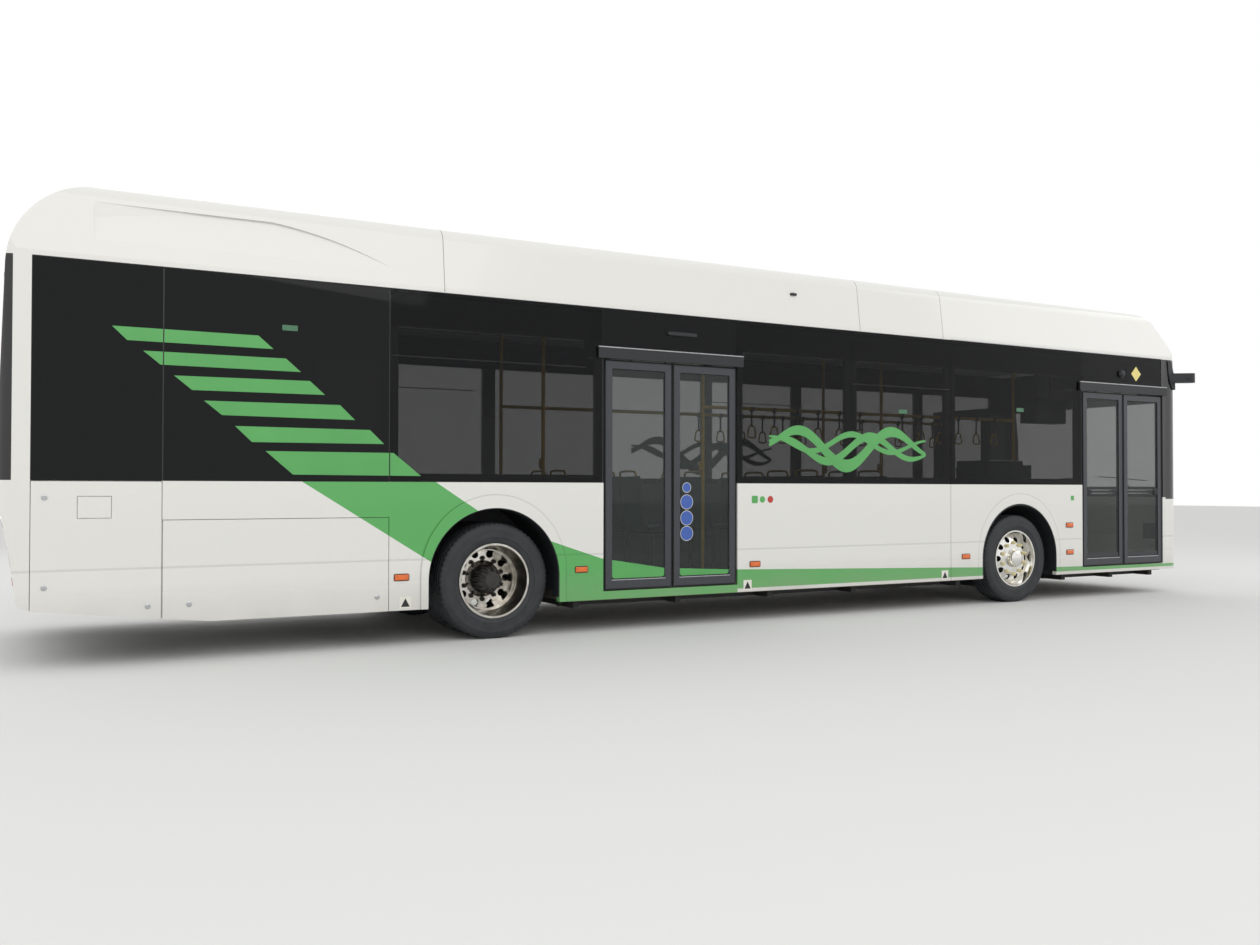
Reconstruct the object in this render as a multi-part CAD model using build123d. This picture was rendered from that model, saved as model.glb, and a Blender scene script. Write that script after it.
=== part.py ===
from build123d import *
import math
import os

# City bus, 12 m, low entry, two double doors on the right side
# +X forward, +Y left, +Z up, millimetres, origin on the ground under the middle of the body

# Body
half_length = 6100
half_width = 1275
skirt_bottom = 270
wall = 50
glass_thickness = 6
rear_corner_radius = 110
front_corner_radius = 230
front_bulge = 50
nose_spare = 8
roof_edge_radius = 130
fairing_lean = 60
waist = 1245
glass_top = 2715
deck_shoulder_rise = 75
deck_rise = 100
fairing_rise = 425
deck_crown = glass_top + deck_rise
roof_top = deck_crown + fairing_rise
rear_seam = -half_length + 186
front_seam = half_length - 390
dome_rear = half_length - 1230
tail_cap_front = -half_length + 300

# Running gear
front_overhang = 2800
wheelbase = 5950
front_axle_x = half_length - front_overhang
rear_axle_x = front_axle_x - wheelbase
tyre_radius = 461
tyre_width = 276
rim_radius = 286
flange_radius = 298
tyre_outer_face = half_width - 40
twin_spacing = 312
arch_radius = 558
rear_arch_shift = -12
front_arch_shift = 18
arch_centre_z = 484
arch_ring_radius = 618
arch_ring_z = 527
arch_ring_proud = 8
housing_radius = 600
housing_sheet = 15
front_housing_inner = tyre_outer_face - 600
rear_housing_inner = tyre_outer_face - 595
kingpin_y = tyre_outer_face - 310
kingpin_radius = 22
spindle_radius = 40
pin_gap = 0.3
steer_arm_back = 150
steer_arm_gap = 9
tie_rod_radius = 15
tie_rod_low_z = 185
tie_rod_crank_y = kingpin_y - 105

# Floors
floor_top = 320
floor_sheet = 60
rear_floor_top = 620
rear_floor_front = rear_axle_x + 690
bench_top = rear_floor_top + 340
bench_front = -half_length + 1040
bench_rear = -half_length + 240
platform_top = floor_top + 150
panel = 40

# Doors
opening_bottom = floor_top + 18
opening_top = 2290
door_bottom = opening_bottom + 8
door_top = opening_top - 10
header_top = opening_top + 90
header_side = 58
header_proud = 25
opening_width = 1365
front_opening_width = 1405
middle_opening_rear = rear_axle_x + 955
door_openings = {
    "middle": (middle_opening_rear, middle_opening_rear + opening_width),
    "front": (front_seam - front_opening_width, front_seam)}
leaf_thickness = 36
leaf_set_in = 5
jamb_gap = 15
meeting_gap = 10
stile = 70
bottom_rail = 90
column_radius = 20
column_behind_jamb = 35
guide_in = 34
roller_from_edge = 30
arm_height = 13
arm_half_width = 14
pivot_radius = 9
roller_radius = 14
rail_slot = 40
leaf_rails = (1150, 1186)
leaf_rail_out = 22
leaf_rail_radius = 9
operator_bottom = opening_top + 20
operator_top = operator_bottom + 250
operator_depth = 200

# Glass joints along the side, from the rear seam to the front
flap_rear, flap_front = rear_seam + 798, rear_axle_x - 878
middle_front = door_openings["middle"][1]
glass_joints = [
    rear_seam, flap_rear, flap_front, middle_opening_rear - 5, middle_front - 10, middle_front + 1330,
    middle_front + 2635,
    door_openings["front"][0] - 5, front_seam - 20]
glass_gap = 8
pane_rim = 65
pane_opening_top = glass_top - 285
cant_rail = 120
cant_rail_height = 75

# Lids
lid_gap = 5
lid_thickness = 25
lid_lip = 55
seat_gap = 0.3
flap_top = 980
charge_flap_box = (rear_seam + 274, rear_seam + 484, waist - 253, waist - 102)
hatch_bottom = 880
hatch_top = 1400
hatch_half_width = half_width - 395


def block(x0, x1, y0, y1, z0, z1):
    # A box from its two corners
    return Pos((x0 + x1) / 2, (y0 + y1) / 2, (z0 + z1) / 2) * Box(x1 - x0, y1 - y0, z1 - z0)


def rod_z(x, y, z0, z1, radius):
    return Pos(x, y, (z0 + z1) / 2) * Cylinder(radius, z1 - z0)


def rod_y(x, y0, y1, z, radius):
    return Pos(x, (y0 + y1) / 2, z) * Rot(90, 0, 0) * Cylinder(radius, abs(y1 - y0))


def rod_x(x0, x1, y, z, radius):
    return Pos((x0 + x1) / 2, y, z) * Rot(0, 90, 0) * Cylinder(radius, abs(x1 - x0))


def bar(start, end, radius):
    # A round bar between two points
    a, b = Vector(*start), Vector(*end)
    plane = Plane(origin=a, z_dir=b - a)
    return extrude(plane * Circle(radius), amount=(b - a).length)


def mirrored(shape):
    return mirror(shape, about=Plane.XZ)


def write(name, shape):
    solids = shape.solids()
    export_step(solids[0] if len(solids) == 1 else Compound(children=list(solids)), f"parts/{name}.step")


def outline(plane, corners):
    # Closed outline; each corner is (first coordinate, second coordinate, fillet radius)
    points = [(a, b) for a, b, _ in corners]
    line = FilletPolyline(*points, radius=[r for _, _, r in corners], close=True)
    return plane * make_face(line)


# Outer body: three outlines extruded and intersected
tail, nose = -half_length, half_length
side_corners = [
    (tail + 200, skirt_bottom + 122, 60), (tail + 1297, skirt_bottom, 0), (nose - 55, skirt_bottom, 40),
    (nose, 620, 300),
    (nose, 1450, 1500), (nose - 165, glass_top + 65, 450), (nose - 620, roof_top, 450),
    (tail + 52, roof_top, 605), (tail, 1600, 0), (tail + 15, 1050, 0), (tail + 70, 760, 0),
    (tail + 115, skirt_bottom + 150, 30)]
front_corners = [
    (-half_width, skirt_bottom, 0), (half_width, skirt_bottom, 0), (half_width, glass_top + 35, 0),
    (half_width - fairing_lean, roof_top, roof_edge_radius),
    (-half_width + fairing_lean, roof_top, roof_edge_radius),
    (-half_width, glass_top + 35, 0)]


def plan_face(inset):
    w, f = half_width - inset, half_length + nose_spare - inset
    corner = f - nose_spare - front_bulge
    edges = [
        Line((-f, -w), (corner, -w)), ThreePointArc((corner, -w), (f, 0), (corner, w)),
        Line((corner, w), (-f, w)), Line((-f, w), (-f, -w))]
    face = make_face(edges)
    front = face.vertices().filter_by(lambda v: v.X > 0)
    face = fillet(front, front_corner_radius - inset)
    rear = face.vertices().filter_by(lambda v: v.X < 1 - f)
    return fillet(rear, rear_corner_radius - inset)


def body(inset):
    # The whole body as one block, set in by the given depth all round
    side = outline(Plane.XZ, side_corners)
    cross = outline(Plane.YZ, front_corners)
    if inset:
        side = offset(side, amount=-inset, kind=Kind.INTERSECTION)
        cross = offset(cross, amount=-inset, kind=Kind.INTERSECTION)
    long = extrude(cross, amount=half_length + 200, both=True)
    deep = extrude(side, amount=half_width + 200, both=True)
    tall = extrude(plan_face(inset), amount=roof_top + 200)
    return long & deep & tall


outer = body(0)
under_glass = body(glass_thickness)
lid_depth = body(lid_thickness)
inner = body(wall)
shell = outer - inner
far = half_length + 500
high = roof_top + 300
wide = half_width + 300


def arch(x, z, radius, y0, y1):
    # Wheel arch: half round over straight sides
    return rod_y(x, y0, y1, z, radius) + block(x - radius, x + radius, y0, y1, 0, z)


arch_centres = [rear_axle_x + rear_arch_shift, front_axle_x + front_arch_shift]
arches = sum((arch(x, arch_centre_z, arch_radius, -wide, wide) for x in arch_centres), Part())

# Side walls: skirt, pillars behind the glass and cant rail in one piece each
glass_band = block(rear_seam, glass_joints[-1], -wide, wide, waist, glass_top)


def pane_boxes(side):
    # The place of each pane along one side: (x0, x1, z0, z1)
    boxes = []
    for x0, x1 in zip(glass_joints, glass_joints[1:]):
        z0 = waist
        for d0, d1 in door_openings.values():
            if side < 0 and abs((x0 + x1) / 2 - (d0 + d1) / 2) < 50:
                z0 = header_top
        boxes.append((x0 + glass_gap / 2, x1 - glass_gap / 2, z0, glass_top))
    return boxes


def side_wall(side):
    y0, y1 = sorted((side * (half_width - wall), side * wide))
    wall_shape = (shell & block(rear_seam, front_seam, y0, y1, 0, glass_top)) - glass_band
    wall_shape += (under_glass - inner) & block(rear_seam, glass_joints[-1], y0, y1, waist, glass_top)
    c0, c1 = sorted((side * (half_width - glass_thickness), side * (half_width - cant_rail)))
    wall_shape += block(rear_seam, front_seam, c0, c1, glass_top - cant_rail_height, glass_top)
    for x0, x1, z0, z1 in pane_boxes(side):
        if z0 == waist:
            wall_shape -= block(x0 + pane_rim, x1 - pane_rim, *sorted((side * 1100, side * wide)),
                z0 + pane_rim, pane_opening_top)
    ring_x = arch_centres[0]
    r0, r1 = sorted((side * (half_width - 20), side * (half_width + arch_ring_proud)))
    ring = arch(ring_x, arch_ring_z, arch_ring_radius, r0, r1)
    ring &= block(ring_x - wide, ring_x + wide, r0 - 1, r1 + 1, skirt_bottom, waist)
    wall_shape += ring
    wall_shape -= arches
    if side < 0:
        for d0, d1 in door_openings.values():
            wall_shape -= block(d0, d1, y0, -1000, opening_bottom, opening_top)
    return wall_shape


def lid_pocket(x0, x1, z0, z1, side):
    # Pocket for a lid in the outer skin, and the smaller opening behind its lip
    deep = block(x0, x1, *sorted((side * (half_width - lid_thickness), side * wide)), z0, z1)
    through = block(x0 + lid_lip, x1 - lid_lip, *sorted((side * 1100, side * wide)), z0 + lid_lip,
        z1 - lid_lip)
    return deep + through


def lid(x0, x1, z0, z1, side):
    y0, y1 = sorted((side * (half_width - lid_thickness + seat_gap), side * wide))
    return outer & block(x0 + lid_gap, x1 - lid_gap, y0, y1, z0, z1 - lid_gap)


flap_place = (flap_rear, flap_front, 0, flap_top)
side_door_place = (rear_seam, flap_rear, 0, waist)
right_wall = side_wall(-1)
left_wall = side_wall(1)
for place, side in ((flap_place, -1), (flap_place, 1), (side_door_place, -1)):
    x0, x1, z0, z1 = place
    pocket = lid_pocket(x0, x1, z0, z1, side)
    pocket -= block(x0, x1, -half_width + lid_thickness, half_width - lid_thickness, 0, 470)
    if side < 0:
        right_wall -= pocket
    else:
        left_wall -= pocket
flap_right = lid(*flap_place, -1)
flap_left = lid(*flap_place, 1)
rear_side_door = lid(*side_door_place, -1)
cx0, cx1, cz0, cz1 = charge_flap_box
charge_depth, charge_lip = 12, 18
rear_side_door -= block(cx0, cx1, -wide, -half_width + charge_depth + seat_gap, cz0, cz1)
rear_side_door -= block(cx0 + charge_lip, cx1 - charge_lip, -wide, 0, cz0 + charge_lip, cz1 - charge_lip)
charge_flap = block(cx0 + lid_gap, cx1 - lid_gap, -half_width, -half_width + charge_depth, cz0 + lid_gap,
    cz1 - lid_gap)

# Glass
side_panes = []
for side in (-1, 1):
    for x0, x1, z0, z1 in pane_boxes(side):
        y0, y1 = sorted((side * (half_width - glass_thickness), side * half_width))
        side_panes.append(block(x0, x1, y0, y1, z0, z1))

# Front mask, windscreen and destination glass
screen_bottom, screen_split, screen_rear = waist - 160, glass_top - 415, front_seam + 50
screen_pillar = 145
mask_region = block(front_seam, far, -wide, wide, 0, high) + block(dome_rear, far, -wide, wide, glass_top,
    high)
front_mask = shell & mask_region
screen_region = block(screen_rear, far, -wide, wide, screen_bottom, screen_split - glass_gap / 2)
sign_region = block(screen_rear, far, -wide, wide, screen_split + glass_gap / 2, glass_top)
windscreen = (outer - under_glass) & (screen_region + sign_region)
front_mask -= windscreen
screen_half = half_width - screen_pillar
front_mask -= block(front_seam - 110, far, -screen_half, screen_half, screen_bottom + 60, screen_split - 70)
front_mask -= block(front_seam - 110, far, -screen_half + 280, screen_half - 280, screen_split + 70,
    glass_top - 70)
tow_y, tow_z, tow_bore, tow_block, tow_depth = -600, 430, 15, 40, 120
tow_rear = half_length - 200
front_mask += outer & block(tow_rear, far, tow_y - tow_block, tow_y + tow_block, tow_z - tow_block,
    tow_z + tow_block)
front_mask -= rod_x(tow_rear + 50, far, tow_y, tow_z, tow_bore)

# Lower grille: slats left standing in a shallow pocket
grille_half, grille_bottom, grille_pitch, grille_slot, grille_depth = 500, 320, 50, 30, 20
grille_skin = outer - body(grille_depth)
for i in range(4):
    z = grille_bottom + i * grille_pitch
    front_mask -= grille_skin & block(half_length - 300, far, -grille_half, grille_half, z, z + grille_slot)

# Rear mask, rear window and hatch
rear_region = block(-far, rear_seam, -wide, wide, 0, high) + block(-far, tail_cap_front, -wide, wide,
    glass_top, high)
rear_mask = shell & rear_region
rear_glass_half, rear_glass_bottom, rear_glass_top = half_width - 235, hatch_top + 60, glass_top - 125
rear_glass_region = block(-far, tail + 110, -rear_glass_half, rear_glass_half, rear_glass_bottom,
    rear_glass_top)
rear_window = (outer - under_glass) & rear_glass_region
rear_mask -= rear_window
rear_mask -= block(-far, tail + 150, -rear_glass_half + 110, rear_glass_half - 110, rear_glass_bottom + 100,
    rear_glass_top - 190)
hatch_reach = tail + 200
hatch_place = block(-far, hatch_reach, -hatch_half_width, hatch_half_width, hatch_bottom, hatch_top)
hatch_inner = block(
    -far, hatch_reach, -hatch_half_width + lid_lip, hatch_half_width - lid_lip, hatch_bottom + lid_lip,
    hatch_top - lid_lip)
rear_mask -= (outer - lid_depth) & hatch_place
rear_mask -= hatch_inner
hatch_cut = block(
    -far, hatch_reach, -hatch_half_width + lid_gap, hatch_half_width - lid_gap, hatch_bottom + lid_gap,
    hatch_top - lid_gap)
hatch_skin = body(lid_thickness - seat_gap)
rear_hatch = (outer - hatch_skin) & hatch_cut
louvre_count, louvre_pitch, louvre_height = 6, 50, 22
louvre_depth, louvre_half = 12, 560
louvre_skin = outer - body(louvre_depth)
for i in range(louvre_count):
    z = hatch_bottom + 130 + i * louvre_pitch
    rear_hatch -= louvre_skin & block(-far, hatch_reach, -louvre_half, louvre_half, z, z + louvre_height)

# Lamps: head lamps let into the mask, tail lamp columns beside the hatch
lamp_solids = []
head_lamp = (half_length - 300, half_width - 495, half_width - 95, 600, 790)
tail_lamp = (tail + 150, hatch_half_width + 55, hatch_half_width + 195, hatch_bottom + 20, hatch_top - 20)
for side in (-1, 1):
    reach, near, off, z0, z1 = head_lamp
    lamp_solids.append(shell & block(reach, far, *sorted((side * near, side * off)), z0, z1))
    reach, near, off, z0, z1 = tail_lamp
    lamp_solids.append(shell & block(-far, reach, *sorted((side * near, side * off)), z0, z1))
for solid in lamp_solids:
    front_mask -= solid
    rear_mask -= solid
# Side markers and indicators on the skirt, (x, z)
marker_half, marker_height, marker_proud = 55, 44, 12
markers = [
    (flap_front + 97, 521), (rear_axle_x + 750, 528), (middle_front + 192, 516), (front_axle_x - 784, 507),
    (front_axle_x + 797, 510), (front_axle_x + 791, 805)]
for x, z in markers:
    for side in (-1, 1):
        y0, y1 = sorted((side * half_width, side * (half_width + marker_proud)))
        lamp = block(x - marker_half, x + marker_half, y0, y1, z - marker_height / 2, z + marker_height / 2)
        lamp_solids.append(chamfer(lamp.faces().sort_by(Axis.Y)[0 if side < 0 else -1].edges(), 6))

# Roof
deck_half, deck_shoulder = half_width - 75, glass_top + deck_shoulder_rise
deck_flat = deck_half - 150
deck_outline = [
    (-deck_half, glass_top, 0), (deck_half, glass_top, 0), (deck_half, deck_shoulder, 0),
    (deck_flat, deck_crown, 0),
    (-deck_flat, deck_crown, 0), (-deck_half, deck_shoulder, 0)]
deck_rear, deck_front = -half_length + 240, half_length - 540
deck_face = Pos(deck_rear, 0, 0) * outline(Plane.YZ, deck_outline)
roof_deck = extrude(deck_face, amount=deck_front - deck_rear) & inner
fairing_inner = half_width - 265
fairing_region = block(tail_cap_front, dome_rear, -wide, -fairing_inner, glass_top, high)
fairings = [shell & fairing_region, shell & mirrored(fairing_region)]
# Scoop in each rear fairing: under a falling crease the skin leans in, deepest at the crease
# and fading at both ends
crease_rear, crease_top = tail + 550, roof_top - 123
crease_turn = tail + 1711
crease_mid = (tail + 2230, glass_top + 291)
crease_front, crease_end = tail + 2600, glass_top + 145
scoop_lean, scoop_fade, scoop_length = 0.08, 0.03, 2500
crease_face = Plane.XZ * make_face([
    Line((crease_rear, crease_top), (crease_turn, crease_top)),
    ThreePointArc((crease_turn, crease_top), crease_mid, (crease_front, crease_end)),
    Line((crease_front, crease_end), (crease_rear, crease_end)),
    Line((crease_rear, crease_end), (crease_rear, crease_top))])
crease_prism = extrude(crease_face, amount=wide, both=True)
skin_lean = fairing_lean / (roof_top - glass_top - 35)
skin_at_end = half_width - skin_lean * (crease_end - glass_top - 35)
skin_at_top = skin_at_end - (skin_lean + scoop_lean) * (roof_top - crease_end)
height_face = make_face(Polyline(
    (skin_at_end, crease_end), (skin_at_top, roof_top), (wide, roof_top), (wide, crease_end), close=True))
by_height = extrude(Plane.YZ.offset(crease_rear) * height_face, amount=scoop_length)
fade_base = half_width - skin_lean * (crease_top - glass_top - 35)
fade_front = crease_rear + scoop_length
fade_plan = make_face(Polyline(
    (crease_rear, fade_base), (fade_front, fade_base - scoop_fade * scoop_length), (fade_front, wide),
    (crease_rear, wide), close=True))
by_length = extrude(fade_plan, amount=high)
scoop = crease_prism & by_height & by_length
fairings = [fairings[0] - mirrored(scoop), fairings[1] - scoop]
# Battery packs: (rear x, front x)
pack_length, pack_gap = 1600, 100
packs_rear = deck_rear + 810
pack_spans = [(packs_rear + i * (pack_length + pack_gap),
    packs_rear + i * (pack_length + pack_gap) + pack_length) for i in range(3)]
aircon_rear, aircon_length, aircon_height = pack_spans[-1][1] + 200, 2300, 455
pack_spans.append((aircon_rear + aircon_length + 150, aircon_rear + aircon_length + 150 + pack_length))
pack_half, pack_foot, pack_height, foot_half = half_width - 375, 30, 285, 60
packs = []
for x0, x1 in pack_spans:
    pack = block(x0, x1, -pack_half, pack_half, deck_crown + pack_foot, deck_crown + pack_foot + pack_height)
    for x in [x0 + pack_length * i / 8 for i in range(1, 8)]:
        pack += block(x - 25, x + 25, -pack_half - 15, pack_half + 15, deck_crown + pack_foot,
            deck_crown + pack_foot + pack_height)
    for y in (-pack_half + 250, pack_half - 250):
        pack += block(x0 + 100, x1 - 100, y - foot_half, y + foot_half, deck_crown, deck_crown + pack_foot)
    packs.append(pack)
aircon_top = deck_crown + aircon_height
aircon = block(aircon_rear, aircon_rear + aircon_length, -pack_half, pack_half, deck_crown, aircon_top)
aircon = chamfer(aircon.edges().filter_by(Axis.Z), 90)
aircon = chamfer(aircon.edges().group_by(Axis.Z)[-1], 45)
fan_radius, fan_well, fan_hub, fan_pitch = 230, 60, 70, 650
for i in (-1, 0, 1):
    x = aircon_rear + aircon_length / 2 + i * fan_pitch
    for y in (-450, 450):
        aircon -= rod_z(x, y, aircon_top - fan_well, aircon_top + 10, fan_radius)
        aircon += rod_z(x, y, aircon_top - fan_well, aircon_top - 12, fan_hub)
        for turn in (0, 45, 90, 135):
            aircon += Pos(x, y, aircon_top - 18) * Rot(0, 0, turn) * Box(2 * fan_radius + 4, 10, 12)

# Floor: low floor, raised rear floor with its riser, step and bench base, cab platform, and wheel housings
inside = half_width - wall
floor_under, rear_under = floor_top - floor_sheet, rear_floor_top - floor_sheet
low_floor = block(rear_floor_front, front_seam, -inside, inside, floor_under, floor_top)
rear_floor = block(bench_front, rear_floor_front, -inside, inside, rear_under, rear_floor_top)
rear_floor += block(rear_floor_front - panel, rear_floor_front, -inside, inside, floor_under, rear_floor_top)
rear_floor += block(bench_rear, bench_front, -inside, inside, bench_top - panel, bench_top)
rear_floor += block(bench_front - panel, bench_front, -inside, inside, rear_under, bench_top)
step_half, step_depth, step_rise = 350, 280, 150
rear_floor += block(rear_floor_front, rear_floor_front + step_depth, -step_half, step_half, floor_top,
    floor_top + step_rise)
cab_inner_y, cab_rear = 300, front_seam - 1150
platform = block(cab_rear, front_seam, cab_inner_y, inside, floor_top, platform_top)


def housing(x, inner_y, side, grow):
    y0, y1 = sorted((side * (inner_y - grow), side * inside))
    r = housing_radius + grow
    return rod_y(x, y0, y1, arch_centre_z, r) + block(x - r, x + r, y0, y1, 0, arch_centre_z)


front_housings, rear_housings = [], []
rear_skirt_z = 350
for side in (-1, 1):
    for x, inner_y, bottom, cases in (
            (arch_centres[0], rear_housing_inner, rear_skirt_z, rear_housings),
            (arch_centres[1], front_housing_inner, floor_under, front_housings)):
        case = housing(x, inner_y, side, housing_sheet) - housing(x, inner_y, side, 0)
        case -= block(x - wide, x + wide, -wide, wide, -wide, bottom)
        if cases is rear_housings:
            case -= block(x - wide, x + wide, -rear_housing_inner, rear_housing_inner, 0, rear_under)
        cases.append(case)
        room = housing(x, inner_y, side, housing_sheet + seat_gap)
        if cases is rear_housings:
            rear_floor -= room
        else:
            low_floor -= room

# Chassis frame: two rear rails with cross tubes, and a low grid under the floor
tube = 60
inner_rail_y, outer_rail_y, low_rail_z = 330, half_width - 325, 200
frame_gap_rear, frame_gap_front, radius_rod_z = front_axle_x - 740, front_axle_x + 740, 238
cross_half = half_width - 95
chassis = Part()
for side in (-1, 1):
    chassis += block(bench_rear, rear_floor_front - panel, *sorted((side * 440, side * 520)), 460, rear_under)
    for y in (inner_rail_y, outer_rail_y):
        across = sorted((side * (y - tube / 2), side * (y + tube / 2)))
        chassis += block(rear_floor_front, frame_gap_rear, *across, low_rail_z, floor_under)
        chassis += block(frame_gap_front, front_seam - 20, *across, low_rail_z, floor_under)
low_cross = [rear_floor_front + 60 + 1000 * i for i in range(4)] + [frame_gap_rear - 60]
low_cross += [frame_gap_front + 60, frame_gap_front + 860, front_seam - 110]
for x in low_cross:
    chassis += block(x - tube / 2, x + tube / 2, -cross_half, cross_half, low_rail_z, floor_under)
for x in (bench_rear + 160, bench_rear + 860, flap_front - 672, flap_front - 72):
    chassis += block(x - tube / 2, x + tube / 2, -cross_half, cross_half, 500, rear_under)
chassis += block(rear_floor_front - panel, rear_floor_front, -520, 520, low_rail_z, floor_under)
chassis += block(rear_floor_front - panel - tube, rear_floor_front - panel, -520, 520, low_rail_z, rear_under)

# Battery blocks: the heavy mass, behind the flaps and under the bench
blocks = [block(bench_rear + 60, bench_front - 100, -400, 400, rear_under, bench_top - 60)]
for side in (-1, 1):
    blocks.append(block(flap_rear + 166, flap_front - 122, *sorted((side * 560, side * (half_width - 125))),
        320, 500))

# Wheels
wheel_z = tyre_radius


def tyre(y0):
    # Revolved tyre section; y0 is the outer face
    h, w = tyre_radius, tyre_width
    section = [
        (rim_radius, -w * 0.36), (flange_radius + 14, -w * 0.46), (h - 95, -w / 2), (h - 28, -w * 0.47),
        (h, -w * 0.39),
        (h, w * 0.39), (h - 28, w * 0.47), (h - 95, w / 2), (flange_radius + 14, w * 0.46),
        (rim_radius, w * 0.36)]
    face = make_face(Polyline(*section, close=True))
    return Pos(0, y0, 0) * revolve(face, axis=Axis.Y)


def rim_ring(y0):
    w = tyre_width
    section = [
        (flange_radius, -w * 0.46), (flange_radius - 16, -w * 0.46), (rim_radius - 40, 0),
        (flange_radius - 16, w * 0.46),
        (flange_radius, w * 0.46), (rim_radius - pin_gap, w * 0.36), (rim_radius - pin_gap, -w * 0.36)]
    face = make_face(Polyline(*section, close=True))
    return Pos(0, y0, 0) * revolve(face, axis=Axis.Y)


def disc(points):
    return revolve(make_face(Polyline(*points, close=True)), axis=Axis.Y)


def hand_holes(count, pitch, radius):
    holes = Part()
    for i in range(count):
        a = 2 * math.pi * i / count
        holes += rod_y(pitch * math.cos(a), -400, 400, pitch * math.sin(a), radius)
    return holes


bearing = spindle_radius + pin_gap
hand_hole_count, hand_hole_pitch, hand_hole_radius = 10, 205, 30
# Front wheel: outward is +Y here; the disc bulges outward from the rim's middle
front_rim = rim_ring(0) + disc([
    (rim_radius - 30, -10), (rim_radius - 30, 12), (230, 60), (165, 92), (90, 96), (90, 130), (70, 150),
    (1, 156),
    (1, 120), (bearing, 120), (bearing, -25), (120, -25), (120, 60), (160, 70), (225, 40)])
front_rim -= hand_holes(hand_hole_count, hand_hole_pitch, hand_hole_radius)
rear_rim = rim_ring(twin_spacing / 2) + rim_ring(-twin_spacing / 2) + disc([
    (rim_radius - 20, twin_spacing / 2 - 60), (rim_radius - 20, -twin_spacing / 2 + 60),
    (rim_radius - 50, -twin_spacing / 2 + 60),
    (rim_radius - 60, -8), (150, -14), (150, -150), (bearing, -150), (bearing, 150), (1, 150), (1, 235),
    (70, 225), (95, 190),
    (105, 60), (150, 20), (rim_radius - 60, 14), (rim_radius - 50, twin_spacing / 2 - 60)])
rear_rim -= hand_holes(hand_hole_count, hand_hole_pitch, hand_hole_radius)
front_wheel_y = tyre_outer_face - tyre_width / 2
rear_wheel_y = tyre_outer_face - tyre_width / 2 - twin_spacing / 2
wheels = {}
for side, label in ((-1, "right"), (1, "left")):
    turn = Rot(0, 0, 0) if side > 0 else Rot(0, 0, 180)
    at_front = Pos(front_axle_x, side * front_wheel_y, wheel_z) * turn
    at_rear = Pos(rear_axle_x, side * rear_wheel_y, wheel_z) * turn
    wheels[f"front_tyre_{label}"] = [at_front * tyre(0)]
    wheels[f"front_rim_{label}"] = [at_front * front_rim]
    wheels[f"rear_tyres_{label}"] = [at_rear * tyre(-twin_spacing / 2), at_rear * tyre(twin_spacing / 2)]
    wheels[f"rear_rim_{label}"] = [at_rear * rear_rim]

# Steering knuckles, front axle beam and tie rod
beam_z0, beam_z1 = 130, 220
eye_half, fork_gap, fork_height = 55, 0.3, 30
spring_radius, spring_top = 70, 740
front_axle = block(front_axle_x - 60, front_axle_x + 60, -700, 700, beam_z0, beam_z1)
for side in (-1, 1):
    front_axle += block(front_axle_x - 60, front_axle_x + 60, *sorted((side * 640, side * 720)), beam_z0,
        wheel_z + 40)
    front_axle += block(
        front_axle_x - 45, front_axle_x + 45, *sorted((side * 700, side * (kingpin_y - 30))), wheel_z - 40,
        wheel_z + 40)
    front_axle += rod_z(front_axle_x, side * kingpin_y, wheel_z - eye_half, wheel_z + eye_half, 45)
    front_axle -= rod_z(front_axle_x, side * kingpin_y, 0, 900, kingpin_radius + pin_gap)
    front_axle += rod_x(frame_gap_rear, front_axle_x, side * inner_rail_y, radius_rod_z, 16)
    front_axle += block(
        front_axle_x - 50, front_axle_x + 20,
        *sorted((side * (inner_rail_y - 25), side * (inner_rail_y + 25))), beam_z1 - 5, 258)


    # Air spring on the upright, its top plate held by the wheel housing
    spring_y = front_housing_inner + 80
    front_axle += rod_z(front_axle_x, side * spring_y, wheel_z + 40, spring_top, spring_radius)
    plate = sorted((side * front_housing_inner, side * (spring_y + 75)))
    front_axle += block(front_axle_x - 75, front_axle_x + 75, *plate, spring_top, spring_top + 12)


def knuckle(side):
    # Fork over the beam's eye, spindle outward, steering arm down and back to the tie rod
    x, y = front_axle_x, side * kingpin_y
    shape = Part()
    for z0 in (wheel_z + eye_half + fork_gap, wheel_z - eye_half - fork_gap - fork_height):
        shape += rod_z(x, y, z0, z0 + fork_height, 48)
        shape += block(x - 48, x + 48, *sorted((y, y + side * 70)), z0, z0 + fork_height)
    top = wheel_z + eye_half + fork_gap + fork_height
    low = wheel_z - eye_half - fork_gap - fork_height
    shape += rod_z(x, y, low, top, kingpin_radius)
    shape += block(x - 48, x + 48, *sorted((y + side * 52, y + side * 78)), low, top)
    shape += rod_y(x, y + side * 60, side * (front_wheel_y + 115), wheel_z, spindle_radius)
    shape += block(x - steer_arm_back, x, y - 20, y + 20, low, low + fork_height)
    shape += rod_z(x - steer_arm_back, y, low, low + fork_height, 24)
    shape += rod_z(x - steer_arm_back, y, low - 42, low, 12)
    return shape


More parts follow.
